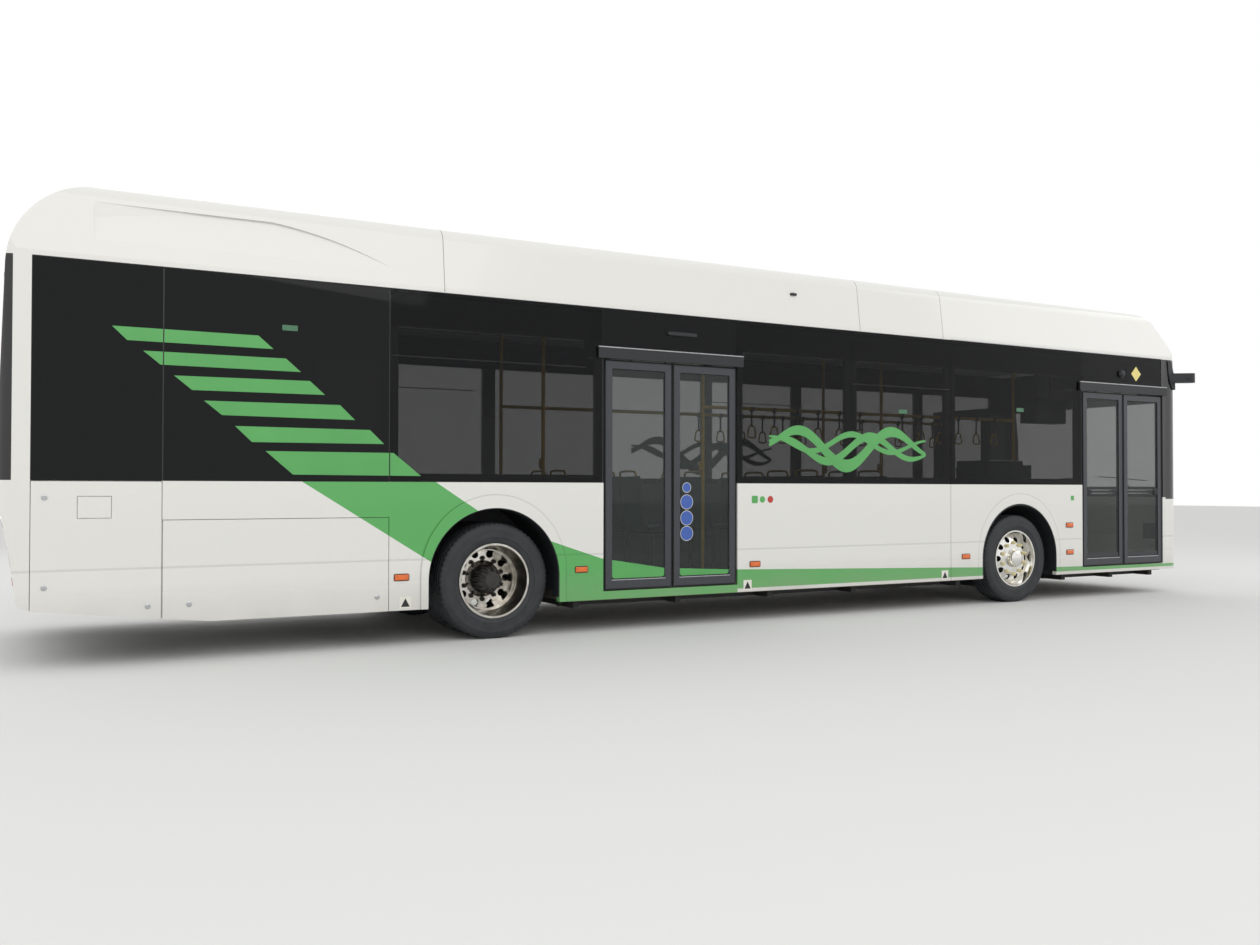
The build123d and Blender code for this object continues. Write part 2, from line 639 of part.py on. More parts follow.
tie_x = front_axle_x - steer_arm_back
tie_z = wheel_z - eye_half - fork_gap - fork_height - steer_arm_gap - tie_rod_radius
tie_rod = rod_y(tie_x, -tie_rod_crank_y - tie_rod_radius, tie_rod_crank_y + tie_rod_radius, tie_rod_low_z,
    tie_rod_radius)
for side in (-1, 1):
    tie_rod += rod_y(tie_x, *sorted((side * kingpin_y, side * (tie_rod_crank_y - tie_rod_radius))), tie_z,
        tie_rod_radius)
    tie_rod += rod_z(tie_x, side * tie_rod_crank_y, tie_rod_low_z - tie_rod_radius, tie_z + tie_rod_radius,
        tie_rod_radius)
    tie_rod += rod_z(tie_x, side * kingpin_y, tie_z - tie_rod_radius, tie_z + tie_rod_radius, 26)
    tie_rod -= rod_z(tie_x, side * kingpin_y, tie_z - 50, tie_z + 50, 12 + pin_gap)

# Rear axle: dropped beam with a spindle each side
rear_spring_radius = 110
rear_axle = block(rear_axle_x - 90, rear_axle_x + 90, -560, 560, 260, 380)
for side in (-1, 1):
    rear_axle += block(rear_axle_x - 90, rear_axle_x + 90, *sorted((side * 540, side * 615)), 260,
        wheel_z + 85)
    rear_axle += rod_y(rear_axle_x, side * 600, side * (rear_wheel_y + 140), wheel_z, spindle_radius)
    rear_axle += block(rear_axle_x - 590, rear_axle_x + 590, *sorted((side * 445, side * 515)), 260, 310)
    for x in (rear_axle_x - 470, rear_axle_x + 470):
        rear_axle += rod_z(x, side * 480, 310, 460, rear_spring_radius)

# Doors
guide_y = -half_width + leaf_set_in + leaf_thickness + guide_in


def door_leaf(jamb, direction, opening):
    # One leaf with its column; direction is +1 when the leaf runs forward from its jamb
    half = abs(opening[1] - opening[0]) / 2
    width = half - jamb_gap - meeting_gap / 2
    column_x = jamb - direction * column_behind_jamb
    reach = jamb_gap + width - roller_from_edge + column_behind_jamb
    crank = reach / 2
    pivot_x = column_x + direction * crank
    roller_x = column_x + direction * reach

    def span(a, b):
        return sorted((jamb + direction * a, jamb + direction * b))

    y0 = -half_width + leaf_set_in
    y1 = y0 + leaf_thickness
    frame = block(*span(jamb_gap, jamb_gap + width), y0, y1, door_bottom, door_top)
    opening_box = block(
        *span(jamb_gap + stile, jamb_gap + width - stile), y0 - 5, y1 + 5, door_bottom + bottom_rail,
        door_top - stile)
    pane = block(
        *span(jamb_gap + stile - 10, jamb_gap + width - stile + 10), y0 + 8, y0 + 16,
        door_bottom + bottom_rail - 10, door_top - stile + 10)
    frame = frame - opening_box - pane
    lug_top = door_top - 2
    lug_low = door_bottom + 2
    for x in (pivot_x, roller_x):
        frame += block(x - 16, x + 16, y1 - 2, guide_y, lug_top - 16, lug_top) + rod_z(x, guide_y,
            lug_top - 16, lug_top, 16)
    frame += block(pivot_x - 16, pivot_x + 16, y1 - 2, guide_y, lug_low, lug_low + 16)
    frame += rod_z(pivot_x, guide_y, lug_low, lug_low + 16, 16)
    frame += rod_z(pivot_x, guide_y, lug_top, arm_top_z + arm_height, pivot_radius)
    frame += rod_z(pivot_x, guide_y, arm_low_z, lug_low, pivot_radius)
    frame += rod_z(roller_x, guide_y, lug_top, operator_bottom + 6, 8)
    frame += rod_z(roller_x, guide_y, operator_bottom + 6, operator_bottom + 26, roller_radius)
    if opening == door_openings["front"]:
        rail_from, rail_to = span(jamb_gap + stile - 20, jamb_gap + width - stile + 20)
        for z in leaf_rails:
            frame += rod_x(rail_from, rail_to, y1 + leaf_rail_out, z, leaf_rail_radius)
        for x in (rail_from + 10, rail_to - 10):
            frame += rod_y(x, y1 - 1, y1 + leaf_rail_out + 12, sum(leaf_rails) / 2, 26)
    column = rod_z(column_x, guide_y, floor_top + seat_gap, operator_bottom - seat_gap, column_radius)
    for z in (arm_top_z, arm_low_z):
        x0, x1 = sorted((column_x, pivot_x))
        arm = block(x0, x1, guide_y - arm_half_width, guide_y + arm_half_width, z, z + arm_height)
        arm += rod_z(pivot_x, guide_y, z, z + arm_height, arm_half_width + 3)
        arm -= rod_z(pivot_x, guide_y, z - 1, z + arm_height + 1, pivot_radius + pin_gap)
        column += arm
    return column, frame, pane, column_x, pivot_x


arm_top_z = 2287
arm_low_z = 328
leaves = {}
for name, opening in door_openings.items():
    leaves[f"{name}_rear"] = door_leaf(opening[0], 1, opening)
    leaves[f"{name}_front"] = door_leaf(opening[1], -1, opening)
headers = []
operator_over = 60
for d0, d1 in door_openings.values():
    operator = block(d0 - operator_over, d1 + operator_over, -inside, -inside + operator_depth,
        operator_bottom, operator_top)
    operator -= block(d0 + 20, d1 - 20, guide_y - rail_slot / 2, guide_y + rail_slot / 2, operator_bottom - 1,
        operator_bottom + 36)
    headers.append(operator)
    header = block(d0 - header_side, d1 + header_side - 8, -half_width - header_proud, -half_width,
        opening_top, header_top)
    g0, g1 = min(zip(glass_joints, glass_joints[1:]), key=lambda pair: abs(sum(pair) - d0 - d1))
    header += block(g0 + glass_gap, g1 - glass_gap, -half_width, -half_width + glass_thickness, opening_top,
        header_top)
    headers.append(header)

# Mirror arms
# Its plan: (set back from the nose, out from the side, fillet radius)
mirror_plan = [(310, -95, 10), (200, -75, 60), (-10, 85, 20), (-20, 145, 20), (40, 165, 60), (230, 15, 60)]
mirror_z, mirror_height = glass_top - 265, 110
fin_proud, fin_depth = 10, 170
fin_profile = [
    (nose - 300, glass_top - 12, 8), (nose - 235, glass_top - 20, 12), (nose - 165, mirror_z + 50, 30),
    (nose - 158, mirror_z - 85, 8), (nose - 225, mirror_z - 60, 20), (nose - 275, mirror_z + 60, 30)]
mirrors = []
for side in (-1, 1):
    face = outline(Plane.XY, [(nose - back, side * (half_width + out), r) for back, out, r in mirror_plan])
    arm = extrude(Pos(0, 0, mirror_z) * face, amount=mirror_height)
    # Fin on the glass corner that carries the arm
    fin = outline(Plane.XZ, fin_profile)
    arm += Pos(0, side * (half_width + fin_proud - fin_depth / 2), 0) * extrude(fin, amount=fin_depth / 2,
        both=True)
    arm -= outer
    mirrors.append(arm)

# Seats: one profile for each seat, two side by side; x is the front of the backrest
seat_width, seat_pitch = 440, 800
seat_profile = [
    (-60, 420, 0), (0, 420, 20), (380, 440, 20), (400, 480, 12), (60, 470, 40), (-60, 1000, 20),
    (-110, 1010, 20), (-100, 800, 0)]
seat_under = seat_profile[0][1]
window_seat, aisle_seat = inside - 255, inside - 715
seats = []


def seat(x, y, floor_z, legged=True):
    shape = extrude(outline(Plane.XZ, seat_profile), amount=seat_width / 2, both=True)
    if legged:
        shape += block(100, 220, -60, 60, 0, seat_under + 35)
    return Pos(x, y, floor_z) * shape


driver_x, driver_y = cab_rear + 240, inside - 465
rear_row = bench_front + 560
for y in (-window_seat, -aisle_seat, aisle_seat, window_seat):
    seats.append(seat(rear_row, y, rear_floor_top))
for i in range(-2, 3):
    seats.append(seat(bench_front - 500, i * 460, bench_top - seat_under, False))
for i in range(4):
    for y in (aisle_seat, window_seat):
        seats.append(seat(rear_floor_front + 810 + i * seat_pitch, y, floor_top))
for i in range(2):
    for y in (-window_seat, -aisle_seat):
        seats.append(seat(middle_front + 1130 + i * seat_pitch, y, floor_top))
seats.append(seat(driver_x, driver_y, platform_top))

# Grab rails: one run a side in the low floor and one at the back, each on its poles;
# (y, rail height, floor, pole places)
pole_radius = 17
aisle_rail_y, rear_rail_y, low_rail_height, rear_rail_height = 480, 260, 1990, 2150
pole_left = [rear_floor_front + 80, rear_floor_front + 2060, front_axle_x - 1200, front_axle_x + 820]
pole_right = [middle_front + 150, front_axle_x - 1200, front_axle_x + 820]
pole_rear = [rear_row - 200, rear_row + 600]
rails = []
rail_runs = [
    (aisle_rail_y, low_rail_height, floor_top, pole_left),
    (-aisle_rail_y, low_rail_height, floor_top, pole_right),
    (rear_rail_y, rear_rail_height, rear_floor_top, pole_rear),
    (-rear_rail_y, rear_rail_height, rear_floor_top, pole_rear)]
for y, height, floor_z, places in rail_runs:
    run = rod_x(places[0], places[-1], y, height, pole_radius)
    for x in places:
        run += rod_z(x, y, floor_z, glass_top, pole_radius)
    rails.append(run)
rails.append(rod_z(rear_floor_front + 80, -aisle_rail_y, floor_top, glass_top, pole_radius))

# Cab: partition behind the driver, door on its own hinges, dashboard with steering wheel
partition = block(cab_rear, cab_rear + panel, cab_inner_y, inside, platform_top, 2200)
partition -= block(cab_rear - 60, cab_rear + 140, cab_inner_y + 120, inside - 125, 1300, 2100)
hinge_x, hinge_y, barrel, knuckle_height = cab_rear + 45, cab_inner_y - 23, 9, 50
cab_door = block(hinge_x + 15, front_seam - 420, hinge_y - 15, hinge_y + 15, floor_top + 20, 1500)
for z in (640, 1320):
    partition += rod_z(hinge_x, hinge_y, z, z + knuckle_height, barrel)
    partition += block(hinge_x - barrel, hinge_x + barrel, hinge_y, cab_inner_y + 10, z, z + knuckle_height)
    cab_door += rod_z(hinge_x, hinge_y, z - knuckle_height, z - seat_gap, barrel)
    cab_door += block(hinge_x, hinge_x + 20, hinge_y - barrel, hinge_y + barrel, z - knuckle_height,
        z - seat_gap)
dash_rear, dash_top = front_seam - 210, platform_top + 660
dash = block(dash_rear, front_seam, cab_inner_y + 30, inside - 95, platform_top, dash_top)
dash += block(front_seam, front_seam + 190, cab_inner_y + 30, inside - 95, platform_top, dash_top)
dash = chamfer(dash.edges().filter_by(Axis.Y).group_by(Axis.Z)[-1], 50)
wheel_lean = (-0.73, 0, 0.68)
hub = (dash_rear - 120, driver_y, dash_top + 120)
column_bar = bar((dash_rear + 60, driver_y, dash_top - 50), hub, 30)
wheel_ring = Plane(origin=hub, z_dir=wheel_lean) * Torus(225, 16)
spokes = Plane(origin=(hub[0] + 5, hub[1], hub[2] - 5),
    z_dir=wheel_lean) * (Box(440, 50, 14) + Box(50, 440, 14))
dashboard = dash + column_bar + wheel_ring + spokes

os.makedirs("parts", exist_ok=True)
pieces = {
    "floor_deck": [low_floor], "rear_floor": [rear_floor], "cab_platform": [platform],
    "front_wheel_housings": front_housings, "rear_wheel_housings": rear_housings,
    "chassis_frame": [chassis],
    "side_wall_right": [right_wall], "side_wall_left": [left_wall],
    "side_glass": side_panes, "roof_deck": [roof_deck], "roof_fairings": fairings,
    "roof_battery_packs": packs,
    "air_conditioner": [aircon], "front_mask": [front_mask], "windscreen": [windscreen],
    "rear_mask": [rear_mask],
    "rear_window": [rear_window], "lamps": lamp_solids, "mirror_arms": mirrors,
    "front_axle_beam": [front_axle],
    "rear_axle": [rear_axle], "battery_blocks": blocks, "passenger_seats": seats, "grab_rails": rails,
    "cab_partition": [partition], "cab_door": [cab_door], "dashboard": [dashboard], "door_headers": headers,
    "service_flap_right": [flap_right], "service_flap_left": [flap_left], "rear_side_door": [rear_side_door],
    "charge_flap": [charge_flap], "rear_hatch": [rear_hatch], "knuckle_right": [knuckle(-1)],
    "knuckle_left": [knuckle(1)],
    "tie_rod": [tie_rod], **wheels}
for name, (column, frame, pane, _, _) in leaves.items():
    pieces[f"door_column_{name}"] = [column]
    pieces[f"door_leaf_{name}"] = [frame]
    pieces[f"door_glass_{name}"] = [pane]
for name, solids in pieces.items():
    shape = solids[0] if len(solids) == 1 else Compound(
        children=[s for item in solids for s in item.solids()])
    write(name, shape)
print(len(pieces), "pieces")
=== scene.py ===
import math

import bmesh
import bpy
import numpy as np
from mathutils import Matrix, Vector
from mathutils.bvhtree import BVHTree


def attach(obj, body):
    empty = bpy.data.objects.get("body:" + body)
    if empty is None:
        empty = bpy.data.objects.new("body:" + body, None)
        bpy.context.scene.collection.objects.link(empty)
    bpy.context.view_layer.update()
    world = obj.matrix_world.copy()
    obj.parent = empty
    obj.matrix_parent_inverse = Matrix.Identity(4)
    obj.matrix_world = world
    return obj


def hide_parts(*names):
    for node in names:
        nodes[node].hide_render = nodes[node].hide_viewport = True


# City bus: finishes, livery, wheels, seats, lamps and trim around the CAD frame
# Metres, +X forward, +Y left, +Z up
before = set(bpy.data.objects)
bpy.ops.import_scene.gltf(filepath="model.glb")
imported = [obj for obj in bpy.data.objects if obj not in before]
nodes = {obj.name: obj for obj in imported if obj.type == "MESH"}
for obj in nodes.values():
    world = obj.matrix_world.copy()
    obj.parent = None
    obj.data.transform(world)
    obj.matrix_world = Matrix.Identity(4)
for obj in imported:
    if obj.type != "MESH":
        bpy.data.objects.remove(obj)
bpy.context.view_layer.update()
pi = math.pi
sides = (("right", -1), ("left", 1))


def intoScene(name, data):
    made = bpy.data.objects.new(name, data)
    bpy.context.scene.collection.objects.link(made)
    return made


# Camera: the viewing place, worked out from the tyre size, the wheelbase and the body's edges
camera = {
    "at": (-6.0665, -9.4284, 1.1975), "turn": 29.571, "pitch": 0.831, "roll": 0.0825, "lens": 31.58,
    "sensor": 36, "reach": 400}


def addCamera():
    # The view runs along +Y turned towards +X, lifted by the pitch, then rolled about itself
    turn, pitch, roll = (math.radians(camera[k]) for k in ("turn", "pitch", "roll"))
    ahead = Vector((math.sin(turn) * math.cos(pitch), math.cos(turn) * math.cos(pitch), math.sin(pitch)))
    right = Vector((math.cos(turn), -math.sin(turn), 0))
    side = right * math.cos(roll) + right.cross(ahead) * math.sin(roll)
    data = bpy.data.cameras.new("camera")
    data.lens, data.sensor_width, data.clip_end = camera["lens"], camera["sensor"], camera["reach"]
    view = intoScene("camera", data)
    axes = Matrix((side, side.cross(ahead), -ahead)).transposed().to_4x4()
    view.matrix_world = Matrix.Translation(camera["at"]) @ axes
    bpy.context.scene.camera = view


addCamera()


# Colours and shader nodes
def linear(hexColour):
    # sRGB hex to the linear values that the shaders take
    channels = [int(hexColour[i:i + 2], 16) / 255 for i in (1, 3, 5)]
    return tuple(c / 12.92 if c <= 0.04045 else ((c + 0.055) / 1.055) ** 2.4 for c in channels) + (1.0,)


def feed(tree, node, *values, **named):
    # Values go to a node's open sockets, in turn or by name; a node stands for its first open output
    sockets = [s for s in node.inputs if s.enabled]
    byName = {s.name: s for s in reversed(sockets)}
    chosen = [byName[key.replace("_", " ")] for key in named]
    for socket, value in list(zip(sockets, values)) + list(zip(chosen, named.values())):
        if isinstance(value, bpy.types.Node):
            value = next(out for out in value.outputs if out.enabled)
        if isinstance(value, bpy.types.NodeSocket):
            tree.links.new(value, socket)
        else:
            socket.default_value = value


def add(tree, kind, *values, **named):
    # One shader node: lower-case names are its settings, the rest go to its open sockets
    node = tree.nodes.new("ShaderNode" + kind)
    for key in [k for k in named if k[0].islower()]:
        setattr(node, key, named.pop(key))
    feed(tree, node, *values, **named)
    return node


def material(name, colour, **values):
    # A plain principled finish; the functions below add its pattern
    made = bpy.data.materials.new(name)
    made.use_nodes = True
    shader = made.node_tree.nodes["Principled BSDF"]
    feed(made.node_tree, shader, Base_Color=linear(colour), **values)
    made.diffuse_color = linear(colour)
    return made, made.node_tree, shader


def position(tree):
    # The object coordinate, and its x, y and z
    coordinate = add(tree, "TexCoord").outputs["Object"]
    return coordinate, list(add(tree, "SeparateXYZ", coordinate).outputs)


def where(tree, *limits):
    # 1 where every limit holds; a limit is (value, "<" or ">", bound)
    mask = 1.0
    for value, sign, bound in limits:
        held = add(tree, "Math", value, bound, operation={"<": "LESS_THAN", ">": "GREATER_THAN"}[sign])
        mask = add(tree, "Math", held, mask, operation="MULTIPLY")
    return mask


def mottle(tree, shader, coordinate, light, dark, perMetre, roughLow, roughHigh, bump, distance):
    # Soft colour and gloss variation from one noise, with a fine bump from another, eight times finer
    noise = add(tree, "TexNoise", coordinate, Scale=perMetre, Detail=4.0)
    ramp = add(tree, "ValToRGB", noise)
    for stop, share, colour in zip(ramp.color_ramp.elements, (0.3, 0.7), (dark, light)):
        stop.position, stop.color = share, linear(colour)
    feed(tree, shader, Base_Color=ramp,
         Roughness=add(tree, "MapRange", noise, To_Min=roughLow, To_Max=roughHigh))
    if bump:
        grain = add(tree, "TexNoise", coordinate, Scale=perMetre * 8, Detail=3.0)
        feed(tree, shader, Normal=add(tree, "Bump", Strength=bump, Distance=distance, Height=grain))
    return ramp


# Livery: where the green runs on the skirt, from the measured edges; x and z in metres
# The black primer colour also darkens the pressed crease and arch lines, as painted shade
livery = {
    "white": "#E9E8E3", "green": "#58AE5B", "dirt": "#9C968A", "primerAndCreaseShade": "#0B0C0E", "lining": "#8E9092",
    "waist": 1.245, "skinFrom": 1.22, "insideOf": 1.2725, "glassFrom": 1.247, "glassTo": 2.712,
    "pillarFrom": 5.68, "pillarLow": 1.105, "pillarTop": 2.715, "inward": -0.5,
    "rearEdge": (-4.17, 1.24, 0.6276), "frontEdge": (-3.152, 1.24, 0.651), "split": -2.66,
    "sweep": [(-2.661, 0.93), (-2.161, 0.761), (-1.708, 0.613), (-1.082, 0.512), (-0.401, 0.476), (0.9, 0.44),
              (2.29, 0.402), (3.887, 0.353), (5.70, 0.335)],
    "hemFrom": -0.33, "hemTop": 0.302, "filmFrom": 0.55, "filmFull": 0.27, "filmMost": 0.5,
    "crease": 0.65, "creaseHalf": 0.014, "seam": 2.305, "roofFrom": 2.72, "roofSeams": (-3.095, 1.107, 2.203),
    "seamHalf": (0.002, 0.004), "arches": ((3.318, 0.527), (-2.662, 0.527)), "archRing": 0.618,
    "ringHalf": (0.002, 0.008)}


def liveryMask(tree, x, z):
    # A slanted band behind the split: its edges are z + slope (x - edge x) = edge z
    band = where(tree, (x, "<", livery["split"]), (z, "<", livery["waist"]))
    for edge, sign in (("rearEdge", ">"), ("frontEdge", "<")):
        edgeX, edgeZ, slope = livery[edge]
        line = add(tree, "Math", x, slope, z, operation="MULTIPLY_ADD")
        band = add(tree, "Math", band, where(tree, (line, sign, edgeZ + slope * edgeX)), operation="MULTIPLY")
    # Ahead of the split it lies below a falling line, kept as a ramp's stops, and past hemFrom above the hem
    points = livery["sweep"]
    first, last = points[0][0], points[-1][0]
    ramp = add(tree, "ValToRGB", add(tree, "MapRange", x, first, last))
    stops = ramp.color_ramp.elements
    while len(stops) < len(points):
        stops.new(0.5)
    for stop, (px, pz) in zip(stops, points):
        stop.position, stop.color = (px - first) / (last - first), (pz, pz, pz, 1)
    hem = add(tree, "Math", where(tree, (z, ">", livery["hemTop"])), where(tree, (x, "<", livery["hemFrom"])),
              operation="MAXIMUM")
    under = where(tree, (z, "<", ramp), (x, ">", livery["split"]), (z, "<", livery["waist"]))
    return add(tree, "Math", band, add(tree, "Math", under, hem, operation="MULTIPLY"), operation="MAXIMUM")


def groove(tree, value, middle, half, beyond):
    # 0 on a line where |value - middle| is small, 1 away from it and beyond a limit
    off = add(tree, "Math", add(tree, "Math", value, middle, operation="SUBTRACT"), operation="ABSOLUTE")
    line = add(tree, "MapRange", off, From_Min=half[0], From_Max=half[1])
    return add(tree, "Math", line, where(tree, beyond), operation="MAXIMUM")


def bodyPaint():
    # Two-pack polyurethane enamel, sprayed: deep gloss, very faint orange peel, road film low on the skirt
    made, tree, shader = material("polyurethaneEnamel", livery["white"], Roughness=0.28,
                                  Coat_Weight=0.5, Coat_Roughness=0.05)
    coordinate, (x, y, z) = position(tree)
    # Faces that look inwards have a normal against the sign of y
    facing = add(tree, "SeparateXYZ", add(tree, "TexCoord").outputs["Normal"]).outputs["Y"]
    outness = add(tree, "Math", facing, add(tree, "Math", y, operation="SIGN"), operation="MULTIPLY")
    reach = add(tree, "Math", y, operation="ABSOLUTE")
    outer = where(tree, (reach, ">", livery["skinFrom"]), (outness, ">", livery["inward"]))
    green = add(tree, "Math", liveryMask(tree, x, z), outer, operation="MULTIPLY")
    film = add(tree, "MapRange", z, livery["filmFrom"], livery["filmFull"], 0.0, livery["filmMost"])
    dirt = add(tree, "Math", film, add(tree, "TexNoise", coordinate, Scale=2.3, Detail=6.0),
               operation="MULTIPLY")
    # The walls are lined in pale grey sheet inside, and black behind the glass and on the front pillars
    lined = where(tree, (outness, "<", livery["inward"]), (z, "<", livery["waist"]))
    hidden = where(tree, (z, ">", livery["glassFrom"]), (z, "<", livery["glassTo"]),
                   (reach, "<", livery["insideOf"]))
    pillar = where(tree, (x, ">", livery["pillarFrom"]), (z, ">", livery["pillarLow"]),
                   (z, "<", livery["pillarTop"]))
    shade = add(tree, "Math", hidden, pillar, operation="MAXIMUM")
    # Panel joints: one upright on the skirt, three across the roof
    below, above = (z, ">", livery["waist"]), (z, "<", livery["roofFrom"])
    joints = groove(tree, x, livery["seam"], livery["seamHalf"], below)
    for seamX in livery["roofSeams"]:
        joint = groove(tree, x, seamX, livery["seamHalf"], above)
        joints = add(tree, "Math", joints, joint, operation="MULTIPLY")
    # Pressed lines: a crease along the skirt, and an edge round each wheel arch, a hand's width out; each is
    # bumped and also darkened in colour as painted shade
    off = add(tree, "Math", add(tree, "Math", z, livery["crease"], operation="SUBTRACT"),
              operation="ABSOLUTE")
    pressed = add(tree, "MapRange", off, 0.0, livery["creaseHalf"], interpolation_type="SMOOTHSTEP")
    for archX, archZ in livery["arches"]:
        flat = add(tree, "CombineXYZ", x, 0.0, add(tree, "Math", z, archZ, operation="MAXIMUM"))
        away = add(tree, "VectorMath", flat, (archX, 0, archZ), operation="DISTANCE")
        ring = groove(tree, away, livery["archRing"], livery["ringHalf"], below)
        pressed = add(tree, "Math", pressed, ring, operation="MULTIPLY")
    # Joint lines go 60% towards black as dark gaps; the crease and arch lines go 16% towards black, which is
    # painted shade
    depth = add(tree, "Math", add(tree, "MapRange", joints, To_Min=0.6, To_Max=0.0),
                add(tree, "MapRange", pressed, To_Min=0.16, To_Max=0.0), operation="MAXIMUM")
    colour = linear(livery["white"])
    for mask, over in ((green, "green"), (dirt, "dirt"), (lined, "lining"), (shade, "primerAndCreaseShade"),
                       (depth, "primerAndCreaseShade")):
        colour = add(tree, "Mix", mask, colour, linear(livery[over]), data_type="RGBA")
    peel = add(tree, "TexNoise", coordinate, Scale=260.0, Detail=1.0)
    fine = add(tree, "Bump", Strength=0.03, Distance=0.001, Height=peel)
    lines = add(tree, "Math", pressed, joints, operation="MULTIPLY")
    feed(tree, shader, Base_Color=colour, Roughness=add(tree, "MapRange", dirt, To_Min=0.24, To_Max=0.75),
         Normal=add(tree, "Bump", Strength=0.6, Distance=0.003, Height=lines, Normal=fine))
    return made


def patterned(name, light, dark, perMetre, roughLow, roughHigh, bump=0.0, distance=0.001, **values):
    made, tree, shader = material(name, light, **values)
    mottle(tree, shader, position(tree)[0], light, dark, perMetre, roughLow, roughHigh, bump, distance)
    return made


def rippledGlass(name, colour, perMetre, ripple, backed=None, **values):
    # Toughened glass, faintly rippled; behind the backed line it hides the machinery
    made, tree, shader = material(name, colour, **values)
    coordinate, (x, y, z) = position(tree)
    if backed:
        feed(tree, shader, Alpha=add(tree, "MapRange", where(tree, (x, "<", backed)), To_Min=0.52,
                                     To_Max=0.93))
    wave = add(tree, "TexNoise", coordinate, Scale=perMetre, Detail=1.0)
    feed(tree, shader, Normal=add(tree, "Bump", Strength=ripple, Distance=0.01, Height=wave))
    return made


# Windscreen: the clear field is inside these heights and this half width
screen = {"low": 1.23, "high": 2.36, "half": 1.13, "glass": "#2B3331", "print": "#060708"}


def windscreenGlass():
    # Laminated glass with a black printed band round its edge and over the destination board
    made, tree, shader = material("laminatedWindscreen", screen["glass"], Roughness=0.015,
                                  Specular_IOR_Level=0.8)
    coordinate, (x, y, z) = position(tree)
    reach = add(tree, "Math", y, operation="ABSOLUTE")
    field = where(tree, (z, ">", screen["low"]), (z, "<", screen["high"]), (reach, "<", screen["half"]))
    dark = add(tree, "Mix", field, linear(screen["print"]), linear(screen["glass"]), data_type="RGBA")
    feed(tree, shader, Base_Color=dark, Alpha=add(tree, "MapRange", field, To_Min=0.93, To_Max=0.4))
    return made


def seatWeave():
    # Wool moquette: dark navy pile with small scattered teal flecks, about 26 mm apart
    made, tree, shader = material("woolMoquette", "#1E2A44", Roughness=0.9, Sheen_Weight=0.35,
                                  Sheen_Roughness=0.45)
    coordinate = position(tree)[0]
    fleck = where(tree, (add(tree, "TexVoronoi", coordinate, Scale=38.0), "<", 0.16))
    pile = add(tree, "TexNoise", coordinate, Scale=140.0, Detail=3.0)
    base = add(tree, "Mix", pile, linear("#17203A"), linear("#2A3958"), data_type="RGBA")
    feed(tree, shader, Base_Color=add(tree, "Mix", fleck, base, linear("#3E8C8C"), data_type="RGBA"),
         Normal=add(tree, "Bump", Strength=0.4, Distance=0.002, Height=pile))
    return made


def safetyFloor():
    # Safety vinyl, calendered: warm grey with mineral sparkle about 4 mm apart
    made, tree, shader = material("safetyVinyl", "#6E665B", Roughness=0.6)
    spark = where(tree, (add(tree, "TexVoronoi", position(tree)[0], Scale=240.0), "<", 0.22))
    feed(tree, shader, Base_Color=add(tree, "Mix", spark, linear("#6A6258"), linear("#B9B2A6"),
                                      data_type="RGBA"))
    return made


def tyreRubber():
    # Carbon-black rubber, moulded: dull dark grey
    made, tree, shader = material("tyreRubber", "#1D1E1F", Roughness=0.75)
    mottle(tree, shader, position(tree)[0], "#33363A", "#232528", 9.0, 0.5, 0.75, 0.3, 0.001)
    return made


def polishedAlloy(name, light, dark, roughLow, roughHigh, hub=None):
    # Forged aluminium, machine polished: mirror like, and with a dark painted hub within its radius
    made, tree, shader = material(name, light, Metallic=1.0)
    coordinate, (x, y, z) = position(tree)
    ramp = mottle(tree, shader, coordinate, light, dark, 14.0, roughLow, roughHigh, 0.06, 0.0005)
    if hub:
        hubX, hubZ, radius = hub
        flat = add(tree, "CombineXYZ", x, 0.0, z)
        away = add(tree, "VectorMath", flat, (hubX, 0, hubZ), operation="DISTANCE")
        painted = where(tree, (away, "<", radius))
        feed(tree, shader, Base_Color=add(tree, "Mix", painted, ramp, linear("#2F2E2D"), data_type="RGBA"),
             Metallic=add(tree, "MapRange", painted, To_Min=1.0, To_Max=0.3))
    return made


def lens(name, colour, roughness, glow=0.0, ends=()):
    # Moulded acrylic or polycarbonate with 6 mm prisms; past an end (sign, x, colour) it has that colour
    made, tree, shader = material(name, colour, Roughness=roughness, Coat_Weight=0.6, Emission_Strength=glow)
    coordinate, (x, y, z) = position(tree)
    base = linear(colour)
    for sign, limit, other in ends:
        base = add(tree, "Mix", where(tree, (x, sign, limit)), base, linear(other), data_type="RGBA")
    ribs = add(tree, "TexWave", coordinate, bands_direction="Z", Scale=50.0, Detail=0.0).outputs["Fac"]
    feed(tree, shader, Base_Color=base, Emission_Color=linear(colour),
         Normal=add(tree, "Bump", Strength=0.3, Distance=0.002, Height=ribs))
    return made


paint = bodyPaint()
# Body-tinted toughened glass, and door glass with a light green-grey tint
tinted = rippledGlass("tintedToughenedGlass", "#06080A", 0.9, 0.08, -3.528, Roughness=0.02,
                      Specular_IOR_Level=0.24)
clear = rippledGlass("clearToughenedGlass", "#39413F", 1.1, 0.06, Roughness=0.015, Alpha=0.34,
                     Specular_IOR_Level=0.6)
screenGlass = windscreenGlass()
moquette = seatWeave()
vinyl = safetyFloor()
rubberTyre = tyreRubber()
frontAlloy = polishedAlloy("polishedAluminium", "#F2F1EE", "#E0DDD6", 0.1, 0.22)
rearAlloy = polishedAlloy("dustyAluminium", "#E2DFD9", "#B4AFA6", 0.12, 0.3, (-2.650, 0.461, 0.116))
# Powder-coated aluminium extrusion, satin anthracite, for the door leaves
doorCoat = patterned("anthracitePowderCoat", "#3F4248", "#35383D", 60.0, 0.32, 0.42, 0.08, 0.0005)
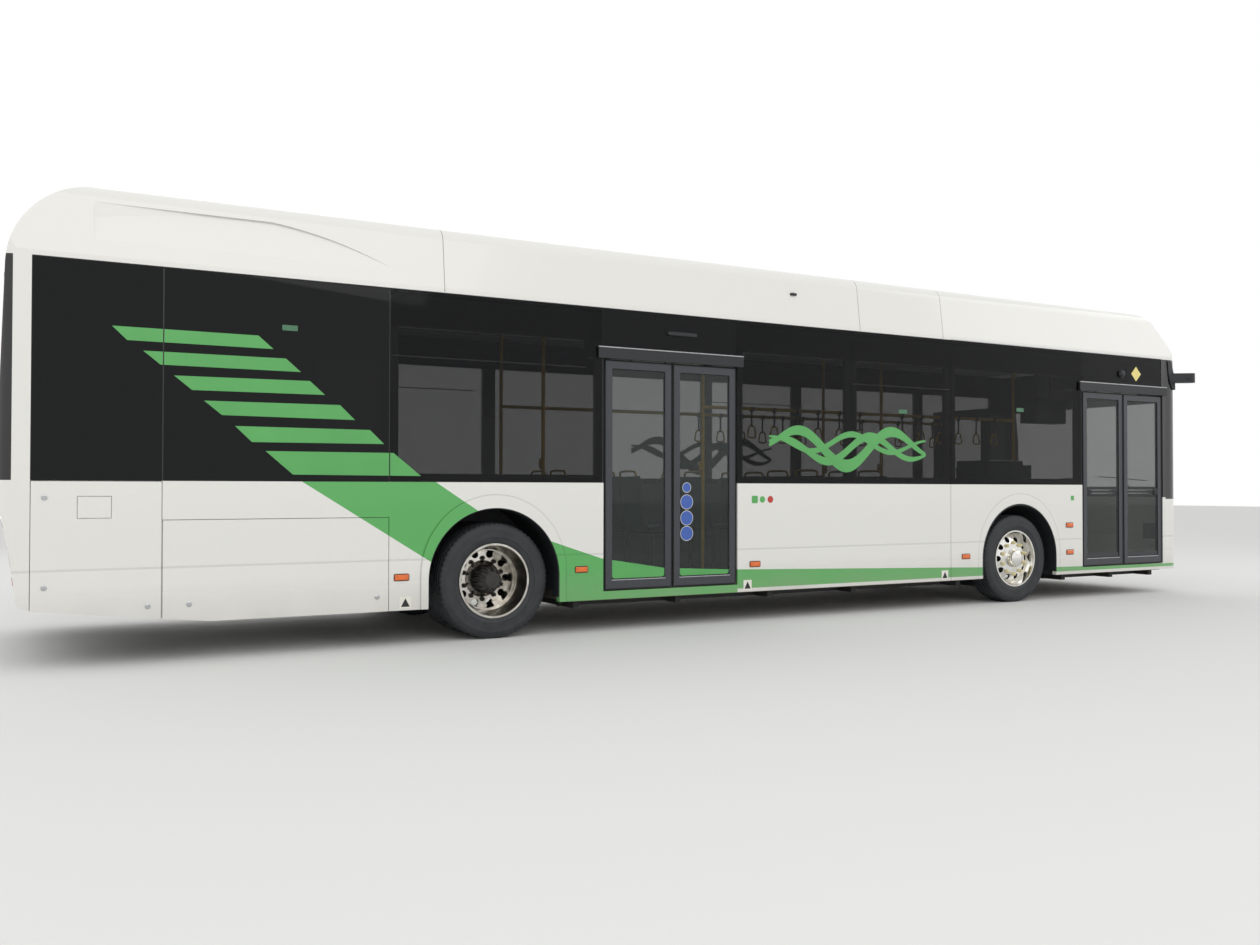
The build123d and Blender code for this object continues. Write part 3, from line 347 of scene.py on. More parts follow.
# Glass-filled polyamide, moulded black with a fine spark texture
blackPlastic = patterned("blackPolyamide", "#232529", "#1B1D20", 45.0, 0.42, 0.6, 0.15, 0.0005)
# Extruded EPDM seal rubber
sealRubber = patterned("epdmRubber", "#121314", "#0C0D0E", 70.0, 0.6, 0.8, 0.1, 0.0005)
# Chassis steel under black wax, dull and dusty
chassisBlack = patterned("waxedSteel", "#2C2B2A", "#1B1B1C", 12.0, 0.55, 0.8, 0.2, 0.001)
# Nodular cast iron painted black
castIron = patterned("paintedCastIron", "#3A3835", "#1E1E1F", 25.0, 0.5, 0.75, 0.3, 0.001)
# Powder-coated sheet for the roof packs
packCoat = patterned("greyPowderCoat", "#C4C5C3", "#B9BAB9", 14.0, 0.45, 0.6, 0.05, 0.0005)
# Chopped-strand moulding, painted white
mouldedWhite = patterned("glassFibreMoulding", "#DAD9D4", "#C8C6BF", 4.0, 0.35, 0.5, 0.04, 0.0005)
# Vacuum-formed ABS, light and dark grey, for the inside trim, and the seat shells' own ABS with a fine grain
trimLight = patterned("lightGreyAbs", "#A9ACAD", "#9B9E9F", 30.0, 0.5, 0.62, 0.1, 0.0005)
trimDark = patterned("darkGreyAbs", "#3B3D40", "#2E3033", 30.0, 0.5, 0.65, 0.15, 0.0005)
shellAbs = patterned("seatShellAbs", "#4A4D52", "#3D4045", 60.0, 0.4, 0.55, 0.15, 0.0005)
# Yellow powder coat on the grab rails
railYellow = patterned("yellowPowderCoat", "#E9BD17", "#D6A80E", 40.0, 0.3, 0.42)
# Brushed stainless steel tube, and bright chrome plate on lamp rings
stainless = patterned("brushedStainless", "#C9CACB", "#B4B6B8", 90.0, 0.22, 0.34, 0.05, 0.0003, Metallic=1.0)
chrome = patterned("chromePlate", "#E9EAEB", "#DCDEE0", 30.0, 0.05, 0.12, Metallic=1.0)
# Lamp windows by place: amber acrylic along the sides, clear polycarbonate in front, red acrylic behind
lampAcrylic = lens("lampAcrylic", "#E2691C", 0.1, ends=((">", 5.7, "#6E7478"), ("<", -5.7, "#7A0F14")))
amber = lens("amberAcrylic", "#E2691C", 0.12, 0.12)
redLens = lens("redAcrylic", "#B3121A", 0.12, 0.08)
whiteLens = lens("clearPolycarbonate", "#D9DDE0", 0.12)
# Cast vinyl film: green, blue, yellow, red, black, a dull printed green and a warm white for blank plates
greenFilm = patterned("greenVinylFilm", livery["green"], "#52A556", 3.0, 0.26, 0.34, Coat_Weight=0.3)
blueFilm = patterned("blueVinylFilm", "#3E63B8", "#375BAE", 20.0, 0.3, 0.36, Coat_Weight=0.3)
yellowFilm = patterned("yellowVinylFilm", "#EFE08A", "#E6D67C", 20.0, 0.3, 0.36, Coat_Weight=0.3)
redFilm = patterned("redVinylFilm", "#C4392F", "#B5332A", 20.0, 0.3, 0.36, Coat_Weight=0.3)
blackFilm = patterned("blackVinylFilm", "#141516", "#0D0E0F", 20.0, 0.25, 0.34, Coat_Weight=0.3)
dullFilm = patterned("printedGreenFilm", "#4A7A5C", "#3F6E52", 30.0, 0.3, 0.4)
plateFilm = patterned("blankPlateFilm", "#ECEAE0", "#E8E6DC", 2.0, 0.3, 0.4)
# Moulded nylon nut caps, natural rubber air-spring bellows, and orange cable sheath
capNylon = patterned("paleNylonCap", "#E6DDB4", "#D6C98E", 60.0, 0.3, 0.45)
bellowsRubber = patterned("bellowsRubber", "#26272A", "#191A1C", 50.0, 0.6, 0.8, 0.2, 0.0005)
cableSheath = patterned("orangeCableSheath", "#DD6A1F", "#C55A17", 60.0, 0.4, 0.55, 0.1, 0.0005)
print("materials ready")

# Finish of each CAD node, by how its name begins
finishes = (
    (vinyl, "floor_deck rear_floor cab_platform"), (chassisBlack, "chassis_frame front_axle_beam rear_axle"),
    (trimDark, "front_wheel_housings rear_wheel_housings cab_partition cab_door dashboard"),
    (paint, "side_wall roof_fairings front_mask rear_mask"),
    (paint, "service_flap rear_side_door charge_flap rear_hatch"),
    (tinted, "side_glass rear_window"), (trimLight, "roof_deck"),
    (packCoat, "roof_battery_packs battery_blocks"),
    (mouldedWhite, "air_conditioner"), (screenGlass, "windscreen"), (lampAcrylic, "lamps"),
    (railYellow, "grab_rails"),
    (blackPlastic, "mirror_arms door_headers"), (moquette, "passenger_seats"), (castIron, "knuckle tie_rod"),
    (rubberTyre, "front_tyre rear_tyres"), (frontAlloy, "front_rim"), (rearAlloy, "rear_rim"),
    (doorCoat, "door_column door_leaf"), (clear, "door_glass"))
for nodeName, solid in nodes.items():
    solid.data.materials.clear()
    solid.data.materials.append(next(m for m, begins in finishes
                                     if nodeName.startswith(tuple(begins.split()))))


# Mesh making: every new piece is a grid of points worked out with numpy; a part is (points, faces)
def meshFrom(name, points, faces):
    # Double points are merged and all faces look outwards
    mesh = bpy.data.meshes.new(name)
    mesh.from_pydata(points.tolist(), [], faces)
    work = bmesh.new()
    work.from_mesh(mesh)
    bmesh.ops.remove_doubles(work, verts=work.verts, dist=1e-5)
    bmesh.ops.dissolve_degenerate(work, edges=work.edges, dist=1e-6)
    bmesh.ops.recalc_face_normals(work, faces=work.faces)
    work.to_mesh(mesh)
    work.free()
    return mesh


def joined(parts):
    points, faces, start = [], [], 0
    for some, theirs in parts:
        points.append(np.reshape(some, (-1, 3)))
        faces += [[int(i) + start for i in face] for face in theirs]
        start += len(points[-1])
    return np.concatenate(points), faces


def addPiece(name, parts, finish, body="root", smooth=True):
    mesh = meshFrom(name, *joined(parts))
    mesh.polygons.foreach_set("use_smooth", np.full(len(mesh.polygons), smooth))
    if smooth:
        mesh.set_sharp_from_angle(angle=math.radians(38))
    mesh.materials.append(finish)
    piece = intoScene(name, mesh)
    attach(piece, body)
    return piece


def gridFaces(rows, columns, closeRows=False, closeColumns=False, start=0):
    # Quads between neighbouring points of a grid, with the last row or column joined to the first when closed
    r = np.arange(rows if closeRows else rows - 1)
    c = np.arange(columns if closeColumns else columns - 1)
    a, b = np.meshgrid(r, c, indexing="ij")
    a2, b2 = (a + 1) % rows, (b + 1) % columns
    quads = np.stack([a * columns + b, a2 * columns + b, a2 * columns + b2, a * columns + b2], -1)
    return quads.reshape(-1, 4) + start


def closedSheet(top, low):
    # Two grids of points, one over the other, with a wall of quads round their common rim
    rows, columns = top.shape[:2]
    count = rows * columns
    grid = np.arange(count).reshape(rows, columns)
    rim = np.concatenate([grid[:, 0], grid[-1, 1:], grid[-2::-1, -1], grid[0, -2:0:-1]])
    around = np.roll(rim, -1)
    walls = np.stack([rim, around, around + count, rim + count], -1)
    faces = np.concatenate([gridFaces(rows, columns), gridFaces(rows, columns, start=count), walls])
    return np.concatenate([top.reshape(-1, 3), low.reshape(-1, 3)]), faces.tolist()


def unit(rows):
    return rows / np.linalg.norm(rows, axis=1, keepdims=True)


def lathe(profile, centre, count=96, axis="y"):
    # A profile of (radius, offset along the axis) turned about the axis through centre
    profile = np.array(profile, float)
    angle = np.linspace(0, 2 * pi, count, endpoint=False)
    r, h = profile[:, :1], profile[:, 1:]
    u, v, w = r * np.cos(angle), r * np.sin(angle), np.broadcast_to(h, (len(profile), count))
    order = {"y": (u, w, v), "z": (u, v, w), "x": (w, u, v)}[axis]
    return np.stack(order, -1) + np.array(centre), gridFaces(len(profile), count, closeColumns=True)


def tube(path, radius, count=12, closed=False):
    # A circle carried along a path; the frame at each point turns with the path's direction
    path = np.array(path, float)
    ahead = unit(np.roll(path, -1, 0) - np.roll(path, 1, 0) if closed else np.gradient(path, axis=0))
    guide = np.array([0.0, 0.0, 1.0]) if abs(ahead[:, 2]).max() < 0.95 else np.array([0.31, 0.95, 0.05])
    across = unit(np.cross(ahead, guide))
    up = np.cross(across, ahead)
    angle = np.linspace(0, 2 * pi, count, endpoint=False)[:, None]
    points = path[:, None] + radius * (across[:, None] * np.cos(angle) + up[:, None] * np.sin(angle))
    faces = gridFaces(len(path), count, closed, True).tolist()
    if not closed:
        faces += [list(range(count)), list(range((len(path) - 1) * count, len(path) * count))]
    return points, faces


def rounded(corners, radius, steps=6):
    # A closed outline with each corner replaced by an arc; corners are (a, b) pairs in order
    corners = np.array(corners, float)
    before, after = unit(np.roll(corners, 1, 0) - corners), unit(np.roll(corners, -1, 0) - corners)
    half = np.arccos(np.clip((before * after).sum(1), -1, 1))[:, None] / 2
    centre = corners + unit(before + after) * radius / np.sin(half)
    first = corners + before * radius / np.tan(half) - centre
    last = corners + after * radius / np.tan(half) - centre
    t = np.linspace(0, 1, steps)[None, :, None]
    turn = (pi - 2 * half)[:, None]
    arc = np.sin((1 - t) * turn) * first[:, None] + np.sin(t * turn) * last[:, None]
    return (centre[:, None] + arc / np.sin(turn)).reshape(-1, 2)


def slab(outline, low, high, axis="y", edge=0.0):
    # A flat outline given thickness along an axis; edge rounds its rim through a quarter circle
    low, high = sorted((low, high))
    outline = np.array(outline, float)
    a, b = outline.T
    area = (a * np.roll(b, -1) - b * np.roll(a, -1)).sum()
    tangent = np.roll(outline, -1, 0) - np.roll(outline, 1, 0)
    normal = unit(np.stack([tangent[:, 1], -tangent[:, 0]], -1)) * np.sign(area)
    inset, level = np.zeros(2), np.array([low, high])
    if edge:
        q = np.linspace(0, pi / 2, 5)
        inset = np.concatenate([edge * (1 - np.sin(q)), edge * (1 - np.cos(q))])
        level = np.concatenate([low + edge * (1 - np.cos(q)), high - edge * (1 - np.sin(q))])
    flat = outline[None] - normal[None] * inset[:, None, None]
    height = np.broadcast_to(level[:, None], flat.shape[:2])
    u, v = flat[..., 0], flat[..., 1]
    points = np.stack({"y": (u, height, v), "z": (u, v, height), "x": (height, u, v)}[axis], -1)
    rows, columns = flat.shape[:2]
    faces = gridFaces(rows, columns, closeColumns=True).tolist()
    return points, faces + [list(range(columns)), list(range((rows - 1) * columns, rows * columns))]


def rectangle(a0, a1, b0, b1):
    return [(a0, b0), (a1, b0), (a1, b1), (a0, b1)]


def boxed(a0, a1, b0, b1, low, high, axis="y", corner=0.01, edge=0.004):
    return slab(rounded(rectangle(a0, a1, b0, b1), corner), low, high, axis, edge)


def smoothLine(points, count):
    # Evenly spaced points along cubics through the given points; each keeps the slope between its neighbours
    p = np.array(points, float)
    p = np.concatenate([[2 * p[0] - p[1]], p, [2 * p[-1] - p[-2]]])
    t = np.linspace(0, 1, 12, endpoint=False)[:, None]
    fine = []
    for a, b, c, d in zip(p, p[1:], p[2:], p[3:]):
        bend = (2 * a - 5 * b + 4 * c - d) * t ** 2 + (3 * b - a - 3 * c + d) * t ** 3
        fine.append(b + 0.5 * ((c - a) * t + bend))
    fine = np.concatenate(fine + [p[-2:-1]])
    length = np.concatenate([[0], np.cumsum(np.linalg.norm(np.diff(fine, axis=0), axis=1))])
    at = np.linspace(0, length[-1], count)
    return np.stack([np.interp(at, length, fine[:, k]) for k in range(p.shape[1])], -1)


# Finding the CAD skin: look is -1 towards the rear and 1 towards the front, along X from beyond both ends
beyondEnds = 7.0
skinTrees = {}


def skinAt(names, y, z, look, x=None):
    # Where a line along X first meets these CAD pieces: the point and the normal there
    start = Vector((-look * beyondEnds if x is None else x, y, z))
    best = None
    for key in [k for k in nodes if k.startswith(tuple(names))]:
        if key not in skinTrees:
            skinTrees[key] = BVHTree.FromObject(nodes[key], bpy.context.evaluated_depsgraph_get())
        world = nodes[key].matrix_world
        local = world.inverted()
        aim = (local.to_3x3() @ Vector((look, 0, 0))).normalized()
        hit, normal, _, distance = skinTrees[key].ray_cast(local @ start, aim)
        if hit is not None and (best is None or distance < best[2]):
            best = (world @ hit, (world.to_3x3() @ normal).normalized(), distance)
    return best[0], best[1]


def lineOn(names, pairs, look):
    # A thin joint line on the skin through (y, z) pairs
    return tube([tuple(skinAt(names, y, z, look)[0]) for y, z in pairs], 0.0022, 6)


def discOn(names, y, z, look, profile, count=40, x=None):
    # A turned profile of (radius, height) standing on the skin, its axis along the skin's normal
    point, normal = skinAt(names, y, z, look, x)
    if normal.x * look > 0:
        normal = -normal
    turn = np.array(normal.to_track_quat("Z", "Y").to_matrix())
    points, faces = lathe(profile, (0, 0, 0), count, "z")
    return points.reshape(-1, 3) @ turn.T + np.array(point), faces


def sheetOn(names, ys, zs, look, proud, thick, steps=10):
    # A rectangle of (y, z) laid on the curved skin, its two faces proud and proud + thick off it along X
    places = [(y, z) for y in np.linspace(min(ys), max(ys), steps) for z in np.linspace(*zs, steps)]
    skin = np.array([tuple(skinAt(names, y, z, look)[0]) for y, z in places]).reshape(steps, steps, 3)
    off = np.array([-look, 0.0, 0.0])
    return closedSheet(skin + off * proud, skin + off * (proud + thick))


# Wheels: tyres, studs, caps and hubs; across runs outward from the wheel's middle
wheel = {
    "radius": 0.461, "width": 0.276, "rimRadius": 0.2855, "frontX": 3.300, "rearX": -2.650, "frontY": 1.097,
    "rearY": 0.941, "twin": 0.312, "grooves": (-0.078, -0.028, 0.028, 0.078), "grooveWidth": 0.011,
    "grooveDepth": 0.011, "bevel": 0.001, "sipes": 64, "sipeDepth": 0.007, "shoulder": (0.079, 0.02),
    # Sidewall: (height over the rim or under the crown, share of the width)
    "overRim": [(0, 0.36), (0.008, 0.41), (0.02, 0.455), (0.045, 0.475), (0.05, 0.483), (0.056, 0.478)],
    "underCrown": [(0.115, 0.499), (0.085, 0.5), (0.06, 0.495), (0.055, 0.5), (0.048, 0.492), (0.03, 0.478),
                   (0.014, 0.455), (0.004, 0.425), (0.001, 0.40)],
    "studs": 10, "studCircle": 0.1675,
    # Nut and hub: (radius, height), a nut's heights above its washer being shares of its own height
    "washer": [(0.021, 0), (0.021, 0.004), (0.0165, 0.006)],
    "nut": [(0.0165, 0.7), (0.013, 0.85), (0.007, 1), (0.0001, 1.03)],
    "frontNut": {"out": 0.093, "height": 0.035, "count": 12},
    "rearNut": {"out": 0.016, "height": 0.042, "count": 6},
    "frontCap": [(0.093, 0.10), (0.091, 0.128), (0.082, 0.15), (0.06, 0.162), (0.03, 0.167), (0.0001, 0.168)],
    "rearRib": [(0.108, 0.03), (0.105, 0.10), (0.099, 0.17), (0.084, 0.212), (0.05, 0.23)], "ribs": 10,
    "rearCap": [(0.062, 0.222), (0.062, 0.238), (0.045, 0.243), (0.0001, 0.244)]}


def turned(profile, side, centre, count):
    # A profile of (radius, outward height) turned about Y on one side of the bus
    return lathe([(r, side * h) for r, h in profile], centre, count)


def tyreSurface(centreX, centreY, side):
    # Tyre: a section of (radius, across) turned about the axle; sipes cut every fourth line of the shoulders
    crown, width = wheel["radius"], wheel["width"]
    wall = [(wheel["rimRadius"] + r, a) for r, a in wheel["overRim"]]
    wall += [(crown - r, a) for r, a in wheel["underCrown"]]
    half, deep, bevel = wheel["grooveWidth"] / 2, crown - wheel["grooveDepth"], wheel["bevel"]
    tread = []
    for g in wheel["grooves"]:
        tread += [(crown, g - half - bevel), (deep, g - half + bevel), (deep, g + half - bevel),
                  (crown, g + half + bevel)]
    profile = np.array([(r, -width * a) for r, a in wall] + tread + [(r, width * a) for r, a in wall[::-1]])
    count = wheel["sipes"] * 4
    angle = np.linspace(0, 2 * pi, count, endpoint=False)
    radius, across = profile[:, :1], profile[:, 1:]
    out, drop = wheel["shoulder"]
    cut = (np.abs(across) > out) & (radius > crown - drop) & (np.arange(count) % 4 == 0)
    r = radius - wheel["sipeDepth"] * cut
    points = np.stack([r * np.cos(angle), np.broadcast_to(across * side, r.shape), r * np.sin(angle)], -1)
    return points + np.array([centreX, centreY, crown]), gridFaces(len(profile), count, closeColumns=True)


def nutRing(x, y, z, side, nut):
    # Ten nuts with domed ends on the stud circle: hexagons behind, round caps in front
    profile = wheel["washer"] + [(r, share * nut["height"]) for r, share in wheel["nut"]]
    parts = []
    for i in range(wheel["studs"]):
        a = 2 * pi * (i + 0.5) / wheel["studs"]
        centre = (x + wheel["studCircle"] * math.cos(a), y + side * nut["out"],
                  z + wheel["studCircle"] * math.sin(a))
        parts.append(turned(profile, side, centre, nut["count"]))
    return parts


def addWheels():
    z = wheel["radius"]
    for label, side in sides:
        x, y = wheel["frontX"], side * wheel["frontY"]
        body = f"front_wheel_{label}"
        tyre = addPiece(f"frontTyre.{label}", [tyreSurface(x, y, side)], rubberTyre, body)
        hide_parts(f"front_tyre_{label}")
        addPiece(f"frontNutCaps.{label}", nutRing(x, y, z, side, wheel["frontNut"]), capNylon, body)
        addPiece(f"frontHubCap.{label}", [turned(wheel["frontCap"], side, (x, y, z), 64)], frontAlloy, body)
        x, y = wheel["rearX"], side * wheel["rearY"]
        body = f"rear_wheel_{label}"
        pair = [tyreSurface(x, y + k * wheel["twin"] / 2, side) for k in (-1, 1)]
        tyres = addPiece(f"rearTyres.{label}", pair, rubberTyre, body)
        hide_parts(f"rear_tyres_{label}")
        addPiece(f"rearNuts.{label}", nutRing(x, y, z, side, wheel["rearNut"]), castIron, body)
        hub = [turned(wheel["rearCap"], side, (x, y, z), 40)]
        for a in 2 * pi * np.arange(wheel["ribs"]) / wheel["ribs"]:
            path = [(x + r * math.cos(a), y + side * h, z + r * math.sin(a)) for r, h in wheel["rearRib"]]
            hub.append(tube(path, 0.010, 8))
        addPiece(f"rearHubRibs.{label}", hub, castIron, body)


addWheels()
print("wheels done")


# The side skin lies at this Y; near and far are distances out from it
skinY = 1.275


def onSide(side, near, far):
    return side * (skinY + near), side * (skinY + far)


# Livery film on the glass: six slanted bars a side, cut where two panes meet
film = {
    "joints": (-5.116, -3.528), "gap": 0.004,
    "bars": [[(-5.438, 2.286), (-4.489, 2.285), (-4.384, 2.195), (-5.345, 2.195)],
             [(-5.245, 2.130), (-4.296, 2.132), (-4.189, 2.040), (-5.135, 2.041)],
             [(-5.048, 1.971), (-4.124, 1.978), (-4.015, 1.881), (-4.931, 1.876)],
             [(-4.852, 1.806), (-3.904, 1.811), (-3.792, 1.704), (-4.733, 1.709)],
             [(-4.645, 1.635), (-3.679, 1.633), (-3.571, 1.530), (-4.529, 1.524)],
             [(-4.435, 1.462), (-3.497, 1.464), (-3.281, 1.291), (-4.242, 1.295)]]}


def cutAt(polygon, x, keepLeft):
    # The part of a polygon on one side of an upright line
    kept = []
    for (ax, az), (bx, bz) in zip(polygon, polygon[1:] + polygon[:1]):
        inA, inB = (ax <= x) == keepLeft, (bx <= x) == keepLeft
        if inA:
            kept.append((ax, az))
        if inA != inB:
            kept.append((x, az + (bz - az) * (x - ax) / (bx - ax)))
    return kept


def addBars():
    pieces = film["bars"]
    for joint in film["joints"]:
        cut = [cutAt(p, joint + (-film["gap"] if left else film["gap"]), left) for p in pieces
               for left in (True, False)]
        pieces = [p for p in cut if len(p) > 2]
    for label, side in sides:
        parts = [slab(p, *onSide(side, 0.0001, 0.0006)) for p in pieces]
        addPiece(f"glassStripes.{label}", parts, greenFilm, smooth=False)


addBars()


# Doors: film on the lower glass, blank round signs, seals, handrails; film is (far, near) off the glass
leaves = {
    "middle_rear": (-1.680, -1.0175), "middle_front": (-1.0075, -0.345), "front_rear": (4.320, 5.0025),
    "front_front": (5.0125, 5.695)}
leafTrim = {
    "stile": 0.070, "low": 0.436, "high": 2.210, "faceY": -1.270, "glassY": -1.262,
    "film": (-0.0006, -0.0001),
    "outerLow": 0.352, "outerHigh": 2.276, "border": 0.051, "railY": -1.212, "rails": (1.150, 1.186),
    "bossZ": 1.168,
    "boss": [(0.0265, -0.0005), (0.0265, 0.026), (0.020, 0.0345), (0.012, 0.0345), (0.010, 0.030),
             (0.0001, 0.030)],
    "cup": [(0.040, 0.0), (0.040, -0.006), (0.030, -0.010), (0.018, -0.010), (0.014, -0.004),
            (0.0001, -0.004)],
    "signX": -0.862, "signs": ((1.207, 0.045), (1.081, 0.065), (0.941, 0.065), (0.806, 0.065))}


def addDoorTrim():
    low, high, faceY, glassY = (leafTrim[k] for k in ("low", "high", "faceY", "glassY"))
    filmAt = [glassY + off for off in leafTrim["film"]]
    for name, (x0, x1) in leaves.items():
        body = f"leaf_{name}"
        a, b = x0 + leafTrim["stile"], x1 - leafTrim["stile"]
        if name.startswith("middle"):
            top = [(x, np.interp(x, *zip(*livery["sweep"]))) for x in np.linspace(a, b, 9)]
            strip = slab([(a, low), (b, low)] + top[::-1], *filmAt)
            addPiece(f"doorStripe.{name}", [strip], greenFilm, body, smooth=False)
        ring = rounded(rectangle(a - 0.002, b + 0.002, low - 0.002, high + 0.002), 0.03)
        seal = tube([(x, glassY - 0.001, z) for x, z in ring], 0.006, 8, True)
        addPiece(f"glassSeal.{name}", [seal], sealRubber, body)
        ring = rounded(rectangle(x0 + 0.004, x1 - 0.004, leafTrim["outerLow"], leafTrim["outerHigh"]), 0.012)
        seal = tube([(x, faceY - 0.001, z) for x, z in ring], 0.005, 8, True)
        addPiece(f"leafEdge.{name}", [seal], sealRubber, body)
        if name.startswith("front"):
            border = slab(rectangle(a, b, low, low + leafTrim["border"]), *filmAt)
            addPiece(f"printedEdge.{name}", [border], trimDark, body, smooth=False)
            railY, bossZ = leafTrim["railY"], leafTrim["bossZ"]
            rails = [tube([(a - 0.02, railY, z), (b + 0.02, railY, z)], 0.0096, 16)
                     for z in leafTrim["rails"]]
            addPiece(f"leafRails.{name}", rails, stainless, body)
            bosses = [lathe(leafTrim["boss"], (x, railY - 0.022, bossZ), 32) for x in (a - 0.010, b + 0.010)]
            cupX = a + 0.035 if name.endswith("rear") else b - 0.035
            bosses.append(lathe(leafTrim["cup"], (cupX, glassY, bossZ), 36))
            addPiece(f"railBosses.{name}", bosses, blackPlastic, body)
        lip = boxed(a - 0.004, b + 0.004, low - 0.012, low - 0.006, faceY - 0.0015, faceY + 0.001, "y",
                    0.002, 0.0008)
        addPiece(f"leafLip.{name}", [lip], stainless, body)
    discs, edges = [], []
    for z, r in leafTrim["signs"]:
        at = (leafTrim["signX"], glassY, z)
        discs.append(lathe([(r - 0.004, -0.0001), (r - 0.004, -0.0009), (0.0001, -0.0009)], at, 40))
        edges.append(lathe([(r, -0.0001), (r, -0.0005), (0.0001, -0.0005)], at, 40))
    addPiece("doorSigns", discs, blueFilm, "leaf_middle_front")
    addPiece("doorSignEdges", edges, plateFilm, "leaf_middle_front")


addDoorTrim()
print("doors done")


# Skirt and glass trim: locks, jack marks, signs, seams, lips and arch liners; places are (x, z)
small = {
    "lampHalf": (0.061, 0.028), "prismHalf": (0.030, 0.014),
    "markers": [(-3.431, 0.521), (-1.900, 0.528), (-0.138, 0.516), (2.516, 0.507), (4.097, 0.510),
                (4.091, 0.805)],
    "doorLocks": [(-5.83, 0.544), (-5.83, 1.134), (-5.204, 0.395)],
    "flapLocks": [(-4.941, 0.396), (-3.619, 0.382)],
    "lock": [(0.019, 0), (0.019, 0.004), (0.015, 0.007), (0.010, 0.007), (0.009, 0.003), (0.0001, 0.003)],
    "jackMarks": [-3.40, -0.22, 2.22],
    "arches": {"front": (3.318, 0.475, 0.556), "rear": (-2.662, 0.484, 0.556)},
    "blanks": [(-4.269, 2.355), (1.658, 1.960), (3.319, 2.037)],
    # Plain marks: x, z, half size, film and corner radius as a share of the half size
    "marks": [(-0.14, 1.10, 0.034, greenFilm, 0.35), (-0.055, 1.10, 0.030, greenFilm, 0.999),
              (0.035, 1.10, 0.032, redFilm, 0.999), (4.14, 1.10, 0.026, greenFilm, 0.35)],
    "dome": [(0.045, 0.0), (0.045, 0.008), (0.038, 0.026), (0.024, 0.037), (0.0001, 0.041)],
    "diamond": (5.235, 2.520, 0.085), "glassTop": (2.7065, 2.7150), "paneFoot": (2.200, 2.209),
    "panes": ((-3.52, -1.86), (1.01, 2.295)), "linerLow": 0.31, "linerDepth": (1.271, 1.262, 1.20, 1.16)}


def archLiner(side, x, z, radius):
    # Black liner: a half round over the wheel, run straight down at both ends, with a rolled lip
    angle = np.linspace(0, pi, 41)
    lineX = np.concatenate([[x + radius], x + radius * np.cos(angle), [x - radius]])[:, None]
    lineZ = np.concatenate([[small["linerLow"]], z + radius * np.sin(angle), [small["linerLow"]]])[:, None]
    depth = side * np.array(small["linerDepth"])
    outer = np.stack(np.broadcast_arrays(lineX, depth, lineZ), -1)
    inner = np.stack(np.broadcast_arrays(x + (lineX - x) * 0.993, depth, z + (lineZ - z) * 0.993), -1)
    lip = np.concatenate([lineX, np.full(lineX.shape, side * 1.2735), lineZ], 1)
    return [closedSheet(outer, inner), tube(lip, 0.0065, 8)]


